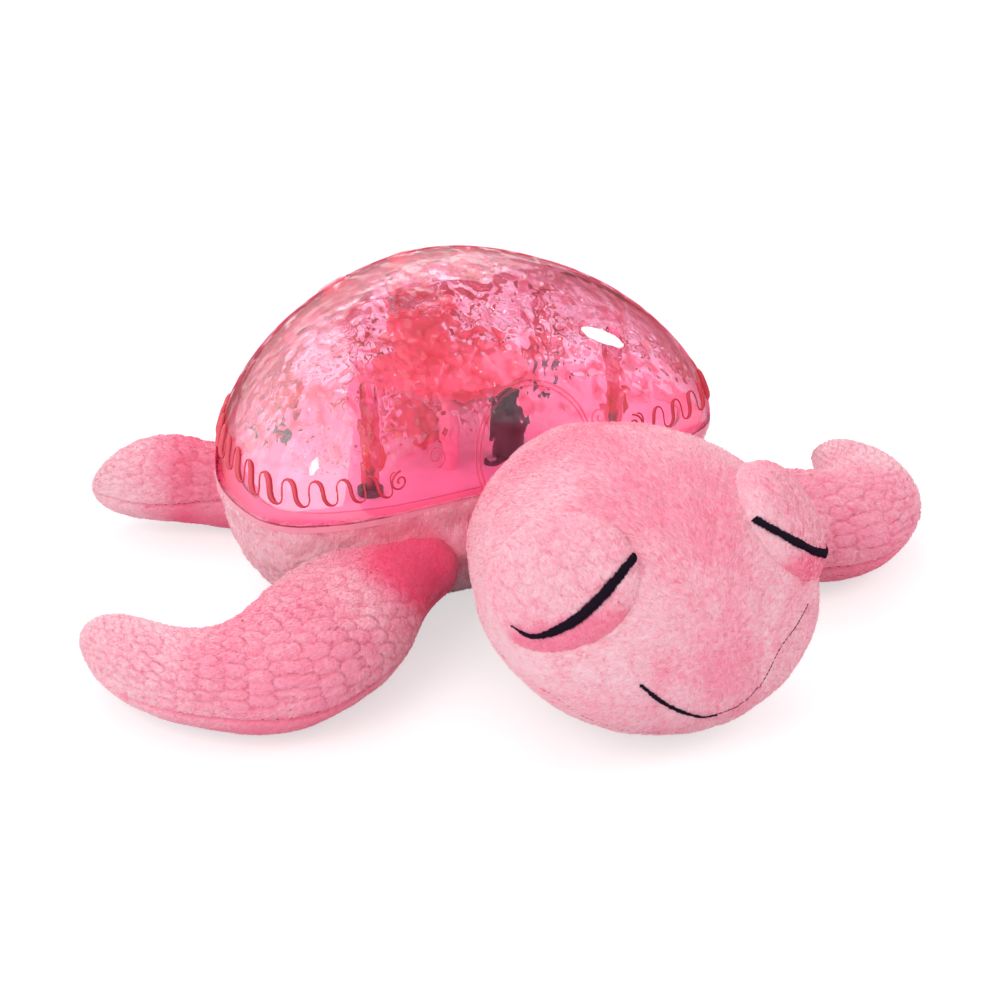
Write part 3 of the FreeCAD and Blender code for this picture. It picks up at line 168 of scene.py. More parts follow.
class Nodes:
    """A node tree while it is being made."""

    def __init__(self, tree):
        self.tree = tree
        tree.nodes.clear()

    def make(self, kind, settings=None, inputs=None):
        """A node; a shader node's kind is named without its first word."""
        made = self.tree.nodes.new(kind if "Node" in kind else f"ShaderNode{kind}")
        for key, value in (settings or {}).items():
            setattr(made, key, value)
        for key, value in (inputs or {}).items():
            if isinstance(value, Value):
                self.tree.links.new(value.socket, made.inputs[key])
            else:
                made.inputs[key].default_value = value
        return made

    def node(self, kind, settings=None, inputs=None, output=0):
        return Value(self, self.make(kind, settings, inputs).outputs[output])

    def vector(self, operation, first, second, output=0):
        return self.node("VectorMath", {"operation": operation}, {0: first, 1: second}, output)

    def ray(self, kind):
        return self.node("LightPath", output=f"Is {kind} Ray")

    def blend(self, share, first, second):
        return self.node("MixShader", None, {0: share, 1: first, 2: second})


class Finish(Nodes):
    """A material while it is being made."""

    def __init__(self, name):
        self.material = bpy.data.materials.new(name)
        self.material.use_nodes = True
        super().__init__(self.material.node_tree)
        self.out = self.make("OutputMaterial")

    def place(self):
        return self.node("TexCoord", output="Object")

    def along(self, axis):
        return self.node("SeparateXYZ", None, {0: self.place()}, axis)

    def slant(self):
        """0 seen square on, 1 seen along the surface."""
        return self.node("LayerWeight", None, {"Blend": 0.5}, "Facing")

    def backfacing(self):
        return self.node("NewGeometry", output="Backfacing")

    def attribute(self, name):
        return self.node("Attribute", {"attribute_name": name}, output="Fac")

    def noise(self, size_mm, detail=2.0, rough=0.5, stretch=None):
        vector = self.place()
        if stretch:
            vector = self.node("Mapping", None, {"Vector": vector, "Scale": stretch})
        inputs = {"Vector": vector, "Scale": 1000.0 / size_mm, "Detail": detail, "Roughness": rough}
        return self.node("TexNoise", None, inputs)

    def mix(self, share, first, second):
        return self.node("Mix", {"data_type": "RGBA"}, {0: share, 6: first, 7: second}, 2)

    def bump(self, height, depth_mm, strength=1.0):
        inputs = {"Height": height, "Distance": depth_mm * MM, "Strength": strength}
        return self.node("Bump", None, inputs)

    def clear(self, tint):
        return self.node("BsdfTransparent", None, {0: tint})

    def principled(self, **sockets):
        named = {key.replace("_", " "): value for key, value in sockets.items()}
        return self.node("BsdfPrincipled", None, named)

    def show(self, shader):
        self.tree.links.new(shader.socket, self.out.inputs["Surface"])
        return self.material

    def surface(self, **sockets):
        return self.show(self.principled(**sockets))

    def fill(self, volume):
        self.tree.links.new(volume.socket, self.out.inputs["Volume"])


def colour(red, green, blue):
    """An sRGB colour, 0 to 255, as the linear value that a socket takes."""

    def linear(part):
        part /= 255
        return part / 12.92 if part <= 0.04045 else ((part + 0.055) / 1.055) ** 2.4

    return (linear(red), linear(green), linear(blue), 1.0)


def floor_finish():
    """White to the camera, with the object's own shadow kept; clear from below."""
    finish = Finish("white_floor")
    paper = finish.node("BsdfDiffuse", None, {"Color": (0.86, 0.86, 0.86, 1)})
    shown = finish.node("BsdfDiffuse", None, {"Color": (0.6, 0.6, 0.6, 1)})
    glow = finish.node("Emission", None, {"Color": (1, 1, 1, 1), "Strength": 0.6})
    bright = finish.node("AddShader", None, {0: shown, 1: glow})
    share = (finish.ray("Camera") + finish.ray("Glossy") + finish.ray("Transmission")).at_most(1.0)
    floor = finish.blend(share, paper, bright)
    return finish.show(finish.blend(finish.backfacing(), floor, finish.node("BsdfTransparent")))


def add_floor():
    mesh = bpy.data.meshes.new("floor")
    half = 3.0
    corners = [(-half, -half, 0), (half, -half, 0), (half, half, 0), (-half, half, 0)]
    mesh.from_pydata(corners, [], [(0, 1, 2, 3)])
    floor = bpy.data.objects.new("floor", mesh)
    scene.collection.objects.link(floor)
    mesh.materials.append(floor_finish())


PALE_PINK = (0.98, 0.65, 0.715, 1)
WARM_PINK = (0.97, 0.31, 0.45, 1)
DEEP_PINK = (0.95, 0.14, 0.27, 1)
# The deepest pink, which the pile takes where shade is painted.
HOT_PINK = (1.0, 0.1, 0.25, 1)


def plush_finish(name, strand):
    """Short pile: pale at the tips and deeper at the roots, deeper pink in the grooves and folds and
    where the pieces store it; the roots, grooves, folds and most of the stored deeper pink are painted
    shade.
    """
    finish = Finish(name)
    fold_shade = finish.attribute("fold_shade")
    groove = finish.attribute("groove")
    shade_and_tint = finish.attribute("shade_and_tint")
    patches = finish.noise(24.0, 3.0, 0.6).between(0.36, 0.66)
    # The pieces' stored deeper pink is painted shade in folds, on undersides and below the eye lines, and
    # a plain tone elsewhere.
    shade = patches * 0.3 + shade_and_tint * 0.8
    if strand:
        tip = finish.attribute("tip")
        tone = finish.attribute("tone")
        # Painted shade: deeper pink at the roots of the tufts.
        shade = shade + (1.0 - tip) * 0.3 + tone * 0.7
    else:
        fine = finish.noise(2.0, 2.0, 0.6).between(0.3, 0.72)
        shade = shade + 0.2 + fine * 0.35
    body = finish.mix(shade.between(0.0, 1.1), PALE_PINK, WARM_PINK)
    # Painted shade: deeper pink in the grooves and creases and along the seams.
    body = finish.mix(groove * 0.3, body, DEEP_PINK)
    strokes = finish.noise(1.9, 2.0, 0.6, stretch=(1.0, 0.34, 0.8)).between(0.56, 0.72)
    if strand:
        strokes = strokes + tone.between(0.3, 0.5) * 0.6
    body = finish.mix(strokes * 0.4, body, DEEP_PINK)
    # Painted shade: hot pink where the pieces store the most deeper pink, at the shoulders, under the
    # neck and below the eye lines.
    body = finish.mix(shade_and_tint.between(0.5, 1.25), body, HOT_PINK)
    # Painted shade: hot pink where neighbouring pieces close round a fold.
    body = finish.mix(fold_shade.between(0.5, 1.05) * 0.65, body, HOT_PINK)
    sockets = dict(
        Base_Color=body,
        Roughness=0.85,
        Specular_IOR_Level=0.2,
        Sheen_Weight=0.3,
        Sheen_Roughness=0.5,
        Sheen_Tint=(1.0, 0.88, 0.92, 1),
    )
    if not strand:
        sockets["Normal"] = finish.bump(fine, 0.4, 0.5)
    return finish.surface(**sockets)


def through_light(finish, glass, tint):
    """Lets lamps shine through a clear piece as well as refract in it."""
    return finish.show(finish.blend(finish.ray("Shadow"), glass, finish.clear(tint)))


def near_posts(finish):
    """1 round the screw posts under the dome, 0 elsewhere."""
    spot = finish.vector("ABSOLUTE", finish.place(), (0.0, 0.0, 0.0))
    flat = finish.vector("MULTIPLY", spot, (1.0, 1.0, 0.0))
    near = 0.0
    for x, y in POSTS[1::2]:
        gap = finish.vector("DISTANCE", flat, (x * MM, y * MM, 0.0), output=1)
        near = gap.between(0.009, 0.0075) + near
    return near


def clear_pink_finish():
    """Tinted clear plastic with hammered ripples moulded in it, smooth towards the rim."""
    finish = Finish("clear_pink_dome")
    height = finish.along(2)
    post = near_posts(finish) * height.between(0.09, 0.087)
    rippled = height.between(0.068, 0.082)
    swirl = finish.noise(8.0, 1.0, 0.4)
    inputs = {"Vector": finish.place(), "Scale": 90.0}
    warp = finish.node("TexNoise", None, inputs, output=1)
    inputs = {0: warp, 1: (0.006, 0.006, 0.006), 2: finish.place()}
    bent = finish.node("VectorMath", {"operation": "MULTIPLY_ADD"}, inputs)
    inputs = {"Vector": bent, "Scale": 190.0, "Smoothness": 0.6}
    cells = finish.node("TexVoronoi", {"feature": "SMOOTH_F1"}, inputs)
    relief = (cells * 0.8 + swirl * 0.9) * rippled
    # Painted shade: thin crimson lines at the ripples' cell edges, for the dark streaks that refraction
    # makes.
    edges = cells.between(0.5, 0.72) * rippled
    slant = finish.slant()
    strength = (1.0 - slant.between(0.34, 0.74)) * (1.0 - finish.backfacing()) * 0.9
    glass = finish.principled(
        Base_Color=finish.mix(edges * 0.8, (1.0, 0.97, 0.98, 1), (0.82, 0.2, 0.3, 1)),
        Roughness=0.02,
        IOR=1.3,
        Transmission_Weight=1.0,
        Coat_Weight=1.0 - slant.between(0.15, 0.9) * 0.9,
        Coat_Roughness=0.02,
        Coat_IOR=1.55,
        Normal=finish.bump(relief, 2.2, strength),
    )
    grazing = slant.between(0.36, 0.88) * (1.0 - edges * 0.55) * 0.88
    share = (grazing + post * 0.9).at_most(0.9)
    wall = finish.blend(share, glass, finish.clear((0.91, 0.58, 0.64, 1)))
    tint = {"Color": (0.88, 0.0, 0.44, 1), "Density": 180.0}
    finish.fill(finish.node("VolumeAbsorption", None, tint))
    return through_light(finish, wall, (1.0, 1.0, 1.0, 1))


def moulded_relief_finish(name, base, other, low, high):
    """The raised lines of the dome: clear seen square on, solid at a slant."""
    finish = Finish(name)
    tone = finish.mix(finish.noise(3.0, 1.0, 0.5), base, other)
    gloss = finish.principled(Base_Color=tone, Roughness=0.08, Coat_Weight=0.6)
    clear = finish.clear((1.0, 0.72, 0.78, 1))
    return finish.show(finish.blend(finish.slant().between(low, high), clear, gloss))


def lens_finish():
    finish = Finish("clear_lens")
    rings = finish.noise(3.0, 1.0, 0.4)
    glass = finish.principled(
        Base_Color=(1.0, 0.9, 0.92, 1),
        Roughness=0.03,
        IOR=1.46,
        Transmission_Weight=1.0,
        Normal=finish.bump(rings, 0.2, 0.4),
    )
    return through_light(finish, glass, (1.0, 0.95, 0.96, 1))


def moulded_finish(name, base, rough=0.35, coat=0.0, grain_mm=0.6, depth=0.02, metallic=0.0):
    """Moulded plastic, metal or rubber with a faint grain and a few worn patches."""
    finish = Finish(name)
    grain = finish.noise(grain_mm, 2.0, 0.6)
    worn = finish.noise(14.0, 3.0, 0.6).between(0.4, 0.7)
    darker = tuple(part * 0.82 for part in base[:3]) + (1.0,)
    return finish.surface(
        Base_Color=finish.mix(worn * 0.5, base, darker),
        Roughness=rough + (grain - 0.5) * 0.15 + worn * 0.06,
        Metallic=metallic,
        Coat_Weight=coat,
        Coat_Roughness=0.08,
        Normal=finish.bump(grain, depth, 0.5),
    )


def thread_finish(name, base, lighter):
    """Embroidery thread with a soft twist."""
    finish = Finish(name)
    twist = finish.noise(0.6, 2.0, 0.6, stretch=(1.0, 1.0, 3.0))
    return finish.surface(
        Base_Color=finish.mix(twist, base, lighter),
        Roughness=0.9,
        Specular_IOR_Level=0.08,
        Normal=finish.bump(twist, 0.15, 0.7),
    )


def tape_finish():
    """Woven hook and loop tape."""
    finish = Finish("woven_tape")
    weave = finish.node("TexVoronoi", {"feature": "F1"}, {"Vector": finish.place(), "Scale": 1400.0})
    return finish.surface(
        Base_Color=finish.mix(weave, colour(236, 150, 168), colour(214, 104, 130)),
        Roughness=0.8,
        Normal=finish.bump(weave, 0.3, 0.8),
    )


def board_finish(name, mask, track):
    """Solder mask over faint tracks."""
    finish = Finish(name)
    inputs = {"Vector": finish.place(), "Color1": mask, "Color2": mask, "Mortar": track}
    inputs.update({"Scale": 220.0, "Mortar Size": 0.03})
    tracks = finish.node("TexBrick", {"offset": 0.5}, inputs)
    return finish.surface(Base_Color=tracks, Roughness=0.35, Coat_Weight=0.4)


def cell_finish():
    """Printed sleeve of a battery: dark, with a copper coloured end."""
    finish = Finish("battery_sleeve")
    fine = finish.noise(1.0, 2.0, 0.5)
    end = finish.along(0).between(0.010, 0.0105)
    sleeve = finish.mix(end, colour(40, 40, 46), colour(184, 116, 66))
    return finish.surface(Base_Color=sleeve, Metallic=fine * 0.2 + 0.6, Roughness=fine * 0.1 + 0.3)


def frame_finish():
    """The projector's frame: red plate and barrel, paler where its legs catch the light."""
    finish = Finish("red_frame")
    grain = finish.noise(0.6, 2.0, 0.6)
    worn = finish.noise(12.0, 3.0, 0.6).between(0.35, 0.7)
    top = finish.mix(worn * 0.7, colour(238, 82, 112), colour(196, 30, 66))
    return finish.surface(
        Base_Color=finish.mix(finish.along(2).between(0.078, 0.09), colour(244, 146, 176), top),
        Roughness=0.3 + (grain - 0.5) * 0.15,
        Coat_Weight=0.3,
        Coat_Roughness=0.08,
        Normal=finish.bump(grain, 0.02, 0.5),
    )


RED_MASK = board_finish("red_board", colour(196, 26, 52), colour(226, 70, 88))
MOULDED = {
    "deck": ("pink_deck", (250, 176, 204), 0.4, 0.2),
    "housing": ("pink_housing", (247, 156, 180), 0.5, 0.15),
    "projector_red": ("red_projector", (238, 84, 112), 0.3, 0.4),
    "white_plastic": ("milky_plastic", (250, 170, 190), 0.4, 0.2),
    "black_plastic": ("black_works", (34, 24, 34), 0.4, 0.1),
    "button_plastic": ("pink_button", (240, 140, 160), 0.2, 0.5),
    "steel": ("bright_steel", (196, 196, 200), 0.28, 0.0, 0.3, 0.01, 1.0),
    "spring_steel": ("plated_spring", (212, 210, 206), 0.2, 0.0, 0.3, 0.01, 1.0),
    "dark_rubber": ("dark_rubber", (52, 12, 30), 0.5, 0.3, 0.5, 0.04),
    "paper_cone": ("paper_cone", (44, 40, 42), 0.9, 0.0, 0.4, 0.08),
    "lead_sleeve": ("red_lead", (200, 24, 34), 0.35, 0.2),
}
FINISHES = {
    slot: moulded_finish(name, colour(*tone), *others)
    for slot, (name, tone, *others) in MOULDED.items()
}
FINISHES.update(
    clear_dome=clear_pink_finish(),
    clear_lens=lens_finish(),
    hook_and_loop=tape_finish(),
    circuit_board=board_finish("green_board", colour(30, 104, 62), colour(70, 146, 92)),
    battery_wrap=cell_finish(),
)
OWN_FINISHES = {"button_boards": RED_MASK, "button_switches": RED_MASK, "projector_frame": frame_finish()}
SKIN = plush_finish("plush_backing", strand=False)
PILE = plush_finish("plush_pile", strand=True)
WAVE_RED = moulded_finish("wave_relief", colour(204, 24, 60), 0.6)
RING_PINK = moulded_relief_finish("ring_relief", colour(255, 176, 192), colour(236, 96, 130), 0.1, 0.6)
POST_RED = moulded_finish("red_post_end", colour(224, 12, 30), 0.12, 0.6)
EYE_THREAD = thread_finish("dark_thread", colour(14, 5, 20), colour(34, 16, 36))
SMILE_THREAD = thread_finish("smile_thread", colour(96, 26, 52), colour(140, 50, 80))
SEAM_THREAD = thread_finish("seam_thread", colour(176, 46, 84), colour(214, 96, 128))


def finish_cad_nodes():
    for part in frame["record"]["subparts"]:
        name = part["node"]
        finish = OWN_FINISHES.get(name) or FINISHES.get(part["material_slot"])
        if finish is None:
            continue
        for slot in nodes[name].material_slots:
            slot.link = "OBJECT"
            slot.material = finish


# Meshes as arrays, in millimetres


def add_object(name, mesh):
    piece = bpy.data.objects.new(name, mesh)
    scene.collection.objects.link(piece)
    return piece


def as_left_by(holder):
    """The mesh of an object with its modifiers, and the object taken away."""
    seen = holder.evaluated_get(bpy.context.evaluated_depsgraph_get())
    made = bpy.data.meshes.new_from_object(seen)
    bpy.data.objects.remove(holder)
    return made


def with_modifier(mesh, kind, **settings):
    holder = add_object("holder", mesh)
    modifier = holder.modifiers.new("step", kind)
    for key, value in settings.items():
        setattr(modifier, key, value)
    return as_left_by(holder)


def normals_of(mesh, key="normal"):
    flat = np.empty(len(mesh.vertices) * 3)
    mesh.vertices.foreach_get(key, flat)
    return flat.reshape(-1, 3)


def points_of(mesh):
    return normals_of(mesh, "co") / MM


def move_points(mesh, points):
    mesh.vertices.foreach_set("co", (points * MM).ravel())
    mesh.update()


def store(mesh, name, values):
    kept = mesh.attributes.get(name) or mesh.attributes.new(name, "FLOAT", "POINT")
    kept.data.foreach_set("value", np.asarray(values, float))


def store_ways(mesh, name, ways):
    kept = mesh.attributes.new(name, "FLOAT_VECTOR", "POINT")
    kept.data.foreach_set("vector", np.asarray(ways, float).ravel())


def lengths(vectors):
    return np.linalg.norm(vectors, axis=-1)


def unit(vectors):
    return vectors / (np.linalg.norm(vectors, axis=-1, keepdims=True) + 1e-12)


def smooth_step(low, high, values):
    share = np.clip((values - low) / (high - low), 0, 1)
    return share * share * (3 - 2 * share)


def lumps(points, size, seed=0.0):
    """Smooth noise from -1 to 1 with hills about size millimetres apart."""
    shift = Vector((seed * 13.7, seed * 7.1, seed * 3.3))
    return np.array([noise.noise(Vector(point) / size + shift) for point in points])


def hashed(first, second=0.0):
    """Repeatable scatter from -0.5 to 0.5 for each pair of whole numbers."""
    raw = np.sin(first * 12.9898 + second * 78.233) * 43758.5453
    return raw - np.floor(raw) - 0.5


def bell(distance, half_width):
    return np.exp(-((distance / half_width) ** 2))


def bell_at(points, centre, half_width):
    return bell(lengths(points - centre), half_width)


def lacking(values, full):
    """1 where a value is 0, and 0 from the full value on."""
    return np.clip(1 - values / full, 0, 1)


def curve_through(controls, steps=8):
    """Points on a smooth curve through the controls."""
    controls = np.array(controls, float)
    ends = np.vstack([2 * controls[0] - controls[1], controls, 2 * controls[-1] - controls[-2]])
    made = []
    for i in range(1, len(ends) - 2):
        a, b, c, d = ends[i - 1 : i + 3]
        bend, sway = 2 * a - 5 * b + 4 * c - d, 3 * b - a - 3 * c + d
        for t in np.linspace(0, 1, steps, endpoint=False):
            made.append(0.5 * (2 * b + (c - a) * t + bend * t**2 + sway * t**3))
    made.append(controls[-1])
    return np.array(made)


def runs_along(path):
    """How far along the path each of its points is."""
    return np.concatenate([[0], np.cumsum(lengths(np.diff(path, axis=0)))])


def evenly(path, pitch):
    """The path's points again, a pitch apart."""
    runs = runs_along(path)
    places = np.linspace(0, runs[-1], max(2, round(runs[-1] / pitch) + 1))
    return np.column_stack([np.interp(places, runs, path[:, i]) for i in range(3)])


def nearest_gap(points, path):
    """Distance from each point to a path, by its closest stretch."""
    best = np.full(len(points), 1e9)
    for start, end in zip(path[:-1], path[1:]):
        step = end - start
        share = np.clip((points - start) @ step / (step @ step), 0, 1)
        best = np.minimum(best, lengths(points - start - share[:, None] * step))
    return best


def tree_of(mesh):
    return BVHTree.FromPolygons(
        [vertex.co for vertex in mesh.vertices], [list(face.vertices) for face in mesh.polygons]
    )


def weld(mesh, turn_out=False):
    """Joins the corners that meet, and turns the faces outwards if asked."""
    made = bmesh.new()
    made.from_mesh(mesh)
    bmesh.ops.remove_doubles(made, verts=made.verts, dist=1e-6)
    if turn_out:
        bmesh.ops.recalc_face_normals(made, faces=made.faces)
    made.to_mesh(mesh)
    made.free()


def merged_copy(node):
    mesh = nodes[node].data.copy()
    weld(mesh)
    mesh.materials.clear()
    return mesh


# Geometry Nodes trees for what repeats


class Plan(Nodes):
    """A Geometry Nodes tree while it is being made."""

    def __init__(self, name, **inputs):
        super().__init__(bpy.data.node_groups.new(name, "GeometryNodeTree"))
        self.add_socket("Geometry", "INPUT", "Geometry")
        for key, kind in inputs.items():
            self.add_socket(key, "INPUT", kind)
        self.add_socket("Geometry", "OUTPUT", "Geometry")
        given = self.tree.nodes.new("NodeGroupInput").outputs
        self.given = {name: Value(self, given[name]) for name in ("Geometry", *inputs)}

    def add_socket(self, name, way, kind):
        self.tree.interface.new_socket(name, in_out=way, socket_type=f"NodeSocket{kind}")

    def named(self, name, kind="FLOAT"):
        return self.node("GeometryNodeInputNamedAttribute", {"data_type": kind}, {"Name": name})

    def keep(self, geometry, domain, name, value):
        """The geometry with a number stored at each of its points or instances."""
        inputs = {"Geometry": geometry, "Name": name, "Value": value}
        settings = {"data_type": "FLOAT", "domain": domain}
        return self.node("GeometryNodeStoreNamedAttribute", settings, inputs)

    def random(self, low, high, seed, kind="FLOAT"):
        first, output = {"FLOAT": (2, 1), "FLOAT_VECTOR": (0, 0)}[kind]
        inputs = {first: low, first + 1: high, "Seed": seed}
        return self.node("FunctionNodeRandomValue", {"data_type": kind}, inputs, output)

    def lay(self, piece, points, rotation, scale):
        inputs = {"Points": points, "Instance": piece, "Rotation": rotation, "Scale": scale}
        return self.node("GeometryNodeInstanceOnPoints", None, inputs)

    def frame_on(self, along_axis, along, rise):
        """A rotation with Z along rise and one other axis along the given way."""
        turned = self.node("FunctionNodeAlignRotationToVector", {"axis": "Z"}, {"Vector": rise})
        settings = {"axis": along_axis, "pivot_axis": "Z"}
        inputs = {"Rotation": turned, "Vector": along}
        return self.node("FunctionNodeAlignRotationToVector", settings, inputs)

    def finish(self, geometry, smooth):
        real = self.node("GeometryNodeRealizeInstances", None, {0: geometry})
        inputs = {"Geometry": real, "Shade Smooth": smooth}
        shaded = self.node("GeometryNodeSetShadeSmooth", None, inputs)
        inputs = {"Geometry": shaded, "Material": self.given["Finish"]}
        self.make("NodeGroupOutput", None, {0: self.node("GeometryNodeSetMaterial", None, inputs)})


def pile_plan():
    """Leaning tufts scattered over a surface and combed along its ways."""
    numbers = {key: "Float" for key in ("Density", "Length", "Width", "Lean")}
    plan = Plan("combed_pile", **numbers, Finish="Material")
    given = plan.given
    cover = given["Density"] * plan.named("cover")
    inputs = {"Mesh": given["Geometry"], "Density": cover, "Seed": 5}
    scatter = plan.make("GeometryNodeDistributePointsOnFaces", None, inputs).outputs
    stray = plan.random((-0.3,) * 3, (0.3,) * 3, 3, "FLOAT_VECTOR")
    way = plan.vector("ADD", plan.named("comb", "FLOAT_VECTOR"), stray)
    standing = plan.frame_on("Y", way, Value(plan, scatter["Normal"]))
    back = plan.random(0.88, 1.06, 4) * given["Lean"] * -1.0
    bow = plan.node("CombineXYZ", None, {0: back})
    settings = {"rotation_space": "LOCAL"}
    leaning = plan.node("FunctionNodeRotateRotation", settings, {0: standing, 1: bow})
    inputs = {"Vertices": 3, "Radius Top": 0.0, "Radius Bottom": given["Width"] * 0.5}
    tuft = plan.node("GeometryNodeMeshCone", None, {**inputs, "Depth": given["Length"]})
    height = plan.node("SeparateXYZ", None, {0: plan.node("GeometryNodeInputPosition")}, 2)
    tuft = plan.keep(tuft, "POINT", "tip", height / given["Length"])
    scale = plan.random((0.8, 0.8, 0.6), (1.2, 1.2, 1.15), 6, "FLOAT_VECTOR")
    laid = plan.lay(tuft, Value(plan, scatter["Points"]), leaning, scale)
    plan.finish(plan.keep(laid, "INSTANCE", "tone", plan.random(-0.5, 0.5, 8)), False)
    return plan


def stitch_plan():
    """A rounded stitch at every point, as long, wide and high as the point says."""
    plan = Plan("laid_stitches", Finish="Material")
    stitch = plan.node("GeometryNodeMeshUVSphere", None, {"Segments": 8, "Rings": 5, "Radius": 1.0})
    way, rise, size = (plan.named(name, "FLOAT_VECTOR") for name in ("way", "rise", "size"))
    laid = plan.lay(stitch, plan.given["Geometry"], plan.frame_on("X", way, rise), size)
    plan.finish(laid, True)
    return plan


def ridge_plan():
    """A round ridge along every line, as thick as its points say."""
    plan = Plan("raised_ridge", Finish="Material")
    line = plan.node("GeometryNodeMeshToCurve", None, {0: plan.given["Geometry"]})
    ring = plan.node("GeometryNodeCurvePrimitiveCircle", None, {"Resolution": 8, "Radius": 1.0})
    inputs = {"Curve": line, "Profile Curve": ring, "Scale": plan.named("thick"), "Fill Caps": True}
    plan.finish(plan.node("GeometryNodeCurveToMesh", None, inputs), True)
    return plan


def grow(name, mesh, plan, **values):
    """What a plan makes of a mesh, as an object with a plain mesh."""
    holder = add_object("holder", mesh)
    modifier = holder.modifiers.new("grow", "NODES")
    modifier.node_group = plan.tree
    for item in plan.tree.interface.items_tree:
        if item.in_out == "INPUT" and item.name in values:
            modifier[item.identifier] = values[item.name]
    return add_object(name, as_left_by(holder))


PILE_PLAN = pile_plan()
STITCHES = stitch_plan()
RIDGES = ridge_plan()


def on_root(piece):
    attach(piece, "root")


def lay_stitches(name, points, ways, rises, sizes, finish):
    mesh = bpy.data.meshes.new(name)
    mesh.from_pydata([tuple(point) for point in points * MM], [], [])
    store_ways(mesh, "way", ways)
    store_ways(mesh, "rise", rises)
    store_ways(mesh, "size", sizes * MM)
    on_root(grow(name, mesh, STITCHES, Finish=finish))


def raise_ridges(name, lines, thick, finish):
    """Round ridges along lines of points; thick is one radius or a radius for each point."""
    points, edges, radii = [], [], []
    for line in lines:
        first = len(points)
        points += [tuple(point) for point in line * MM]
        edges += [(first + i, first + i + 1) for i in range(len(line) - 1)]
        radii += list(np.broadcast_to(thick, len(line)))
    mesh = bpy.data.meshes.new(name)
    mesh.from_pydata(points, edges, [])
    store(mesh, "thick", np.array(radii) * MM)
    on_root(grow(name, mesh, RIDGES, Finish=finish))


# Plush pieces

SOFT_NODES = (
    "plush_body",
    "plush_head",
    "front_right_flipper",
    "front_left_flipper",
    "rear_right_flipper",
    "rear_left_flipper",
    "right_eyelid_patch",
    "left_eyelid_patch",
)
solids = {name: tree_of(merged_copy(name)) for name in SOFT_NODES + ("shell_dome",)}
skins = {}


def half_sphere(count):
    """Directions spread evenly over the upper half sphere."""
    golden = math.pi * (3 - math.sqrt(5))
    made = []
    for i in range(count):
        rise = (i + 0.5) / count
        reach = math.sqrt(1 - rise * rise)
        made.append(Vector((reach * math.cos(golden * i), reach * math.sin(golden * i), rise)))
    return made


def hollowness(mesh, reach_mm=60.0, rays=20):
    """How far the pieces round each point shut it in, from 0 in the open to 1 in a fold; the pile's
    colour paints shade from it.
    """
    fan = half_sphere(rays)
    reach = reach_mm * MM
    shut = []
    for vertex in mesh.vertices:
        normal = vertex.normal
        start = vertex.co + normal * 0.0015
        turn = Vector((0, 0, 1)).rotation_difference(normal)
        blocked = 0.0
        for ray in fan:
            way = turn @ ray
            nearest = reach
            for tree in solids.values():
                hit = tree.ray_cast(start, way, nearest)
                if hit[0] is not None:
                    nearest = hit[3]
            blocked += 1 - nearest / reach
        shut.append(blocked / rays)
    return shut


def puff(mesh, seam, shrink_mm=1.2, cap_mm=3.0):
    """Inflates a cover held along its seam, as filling does."""
    start = points_of(mesh)
    move_points(mesh, start - normals_of(mesh) * shrink_mm)
    holder = add_object("puffed", mesh)
    held = holder.vertex_groups.new(name="held")
    for i in np.nonzero(seam > 0.5)[0]:
        held.add([int(i)], 1.0, "REPLACE")
    cloth = holder.modifiers.new("filling", "CLOTH")
    cloth.settings.use_pressure = True
    cloth.settings.uniform_pressure_force = 4.0
    cloth.settings.effector_weights.gravity = 0.0
    cloth.settings.vertex_group_mass = "held"
    cloth.collision_settings.use_collision = False
    for step in range(1, 21):
        scene.frame_set(step)
    made = as_left_by(holder)
    scene.frame_set(1)
    moved = points_of(made) - start
    far = lengths(moved)[:, None]
    points = start + moved * np.minimum(1, cap_mm / np.maximum(far, 1e-6))
    points[:, 2] = np.maximum(points[:, 2], 0.2)
    move_points(made, points)
    return made


def scale_rows(along, across, pitch_along, pitch_across):
    """Overlapping scales whose free edges face the way that along grows: 0 in the grooves."""
    height = np.zeros(len(along))
    first = np.floor(along / pitch_along)
    for step in (2, 1, 0, -1):
        row = first + step
        odd = np.mod(row, 2) * 0.5
        cell = np.round(across / pitch_across - odd)
        centre_across = (cell + odd + 0.34 * hashed(row, cell)) * pitch_across
        centre_along = (row + 0.34 * hashed(cell, row)) * pitch_along
        run = (along - centre_along) / (pitch_along * (0.98 + 0.2 * hashed(cell, row + 7)))
        side = (across - centre_across) / (pitch_across * 0.64)
        spread = run**2 + side**2
        rise = (0.34 + 0.33 * (run + 1)) * (1 - np.clip(spread, 0, 1) ** 1.7)
        height = np.where(spread < 1, rise, height)
    return height


FLIPPER_HALF_WIDE, FLIPPER_HALF_HIGH, FLIPPER_RADIUS = 34.0, 21.0, 27.0


def spine_places(points, spine):
    """Distance from the tip and angle round the section, for each point."""
    steps = np.diff(spine, axis=0)
    starts = runs_along(spine[:, :2])
    best = np.full(len(points), 1e9)
    run, side, level = np.zeros((3, len(points)))
    for i, (start, step) in enumerate(zip(spine[:-1], steps)):
        length = np.linalg.norm(step[:2])
        away = points[:, :2] - start[:2]
        share = np.clip(away @ step[:2] / length**2, 0, 1)
        foot = away - share[:, None] * step[:2]
        gap = np.hypot(foot[:, 0], foot[:, 1])
        lateral = (step[0] * away[:, 1] - step[1] * away[:, 0]) / length
        closer = gap < best
        best = np.where(closer, gap, best)
        run = np.where(closer, starts[i] + share * length, run)
        side = np.where(closer, lateral, side)
        level = np.where(closer, start[2] + share * step[2], level)
    turn = np.arctan2((points[:, 2] - level) / FLIPPER_HALF_HIGH, side / FLIPPER_HALF_WIDE)
    return run, turn


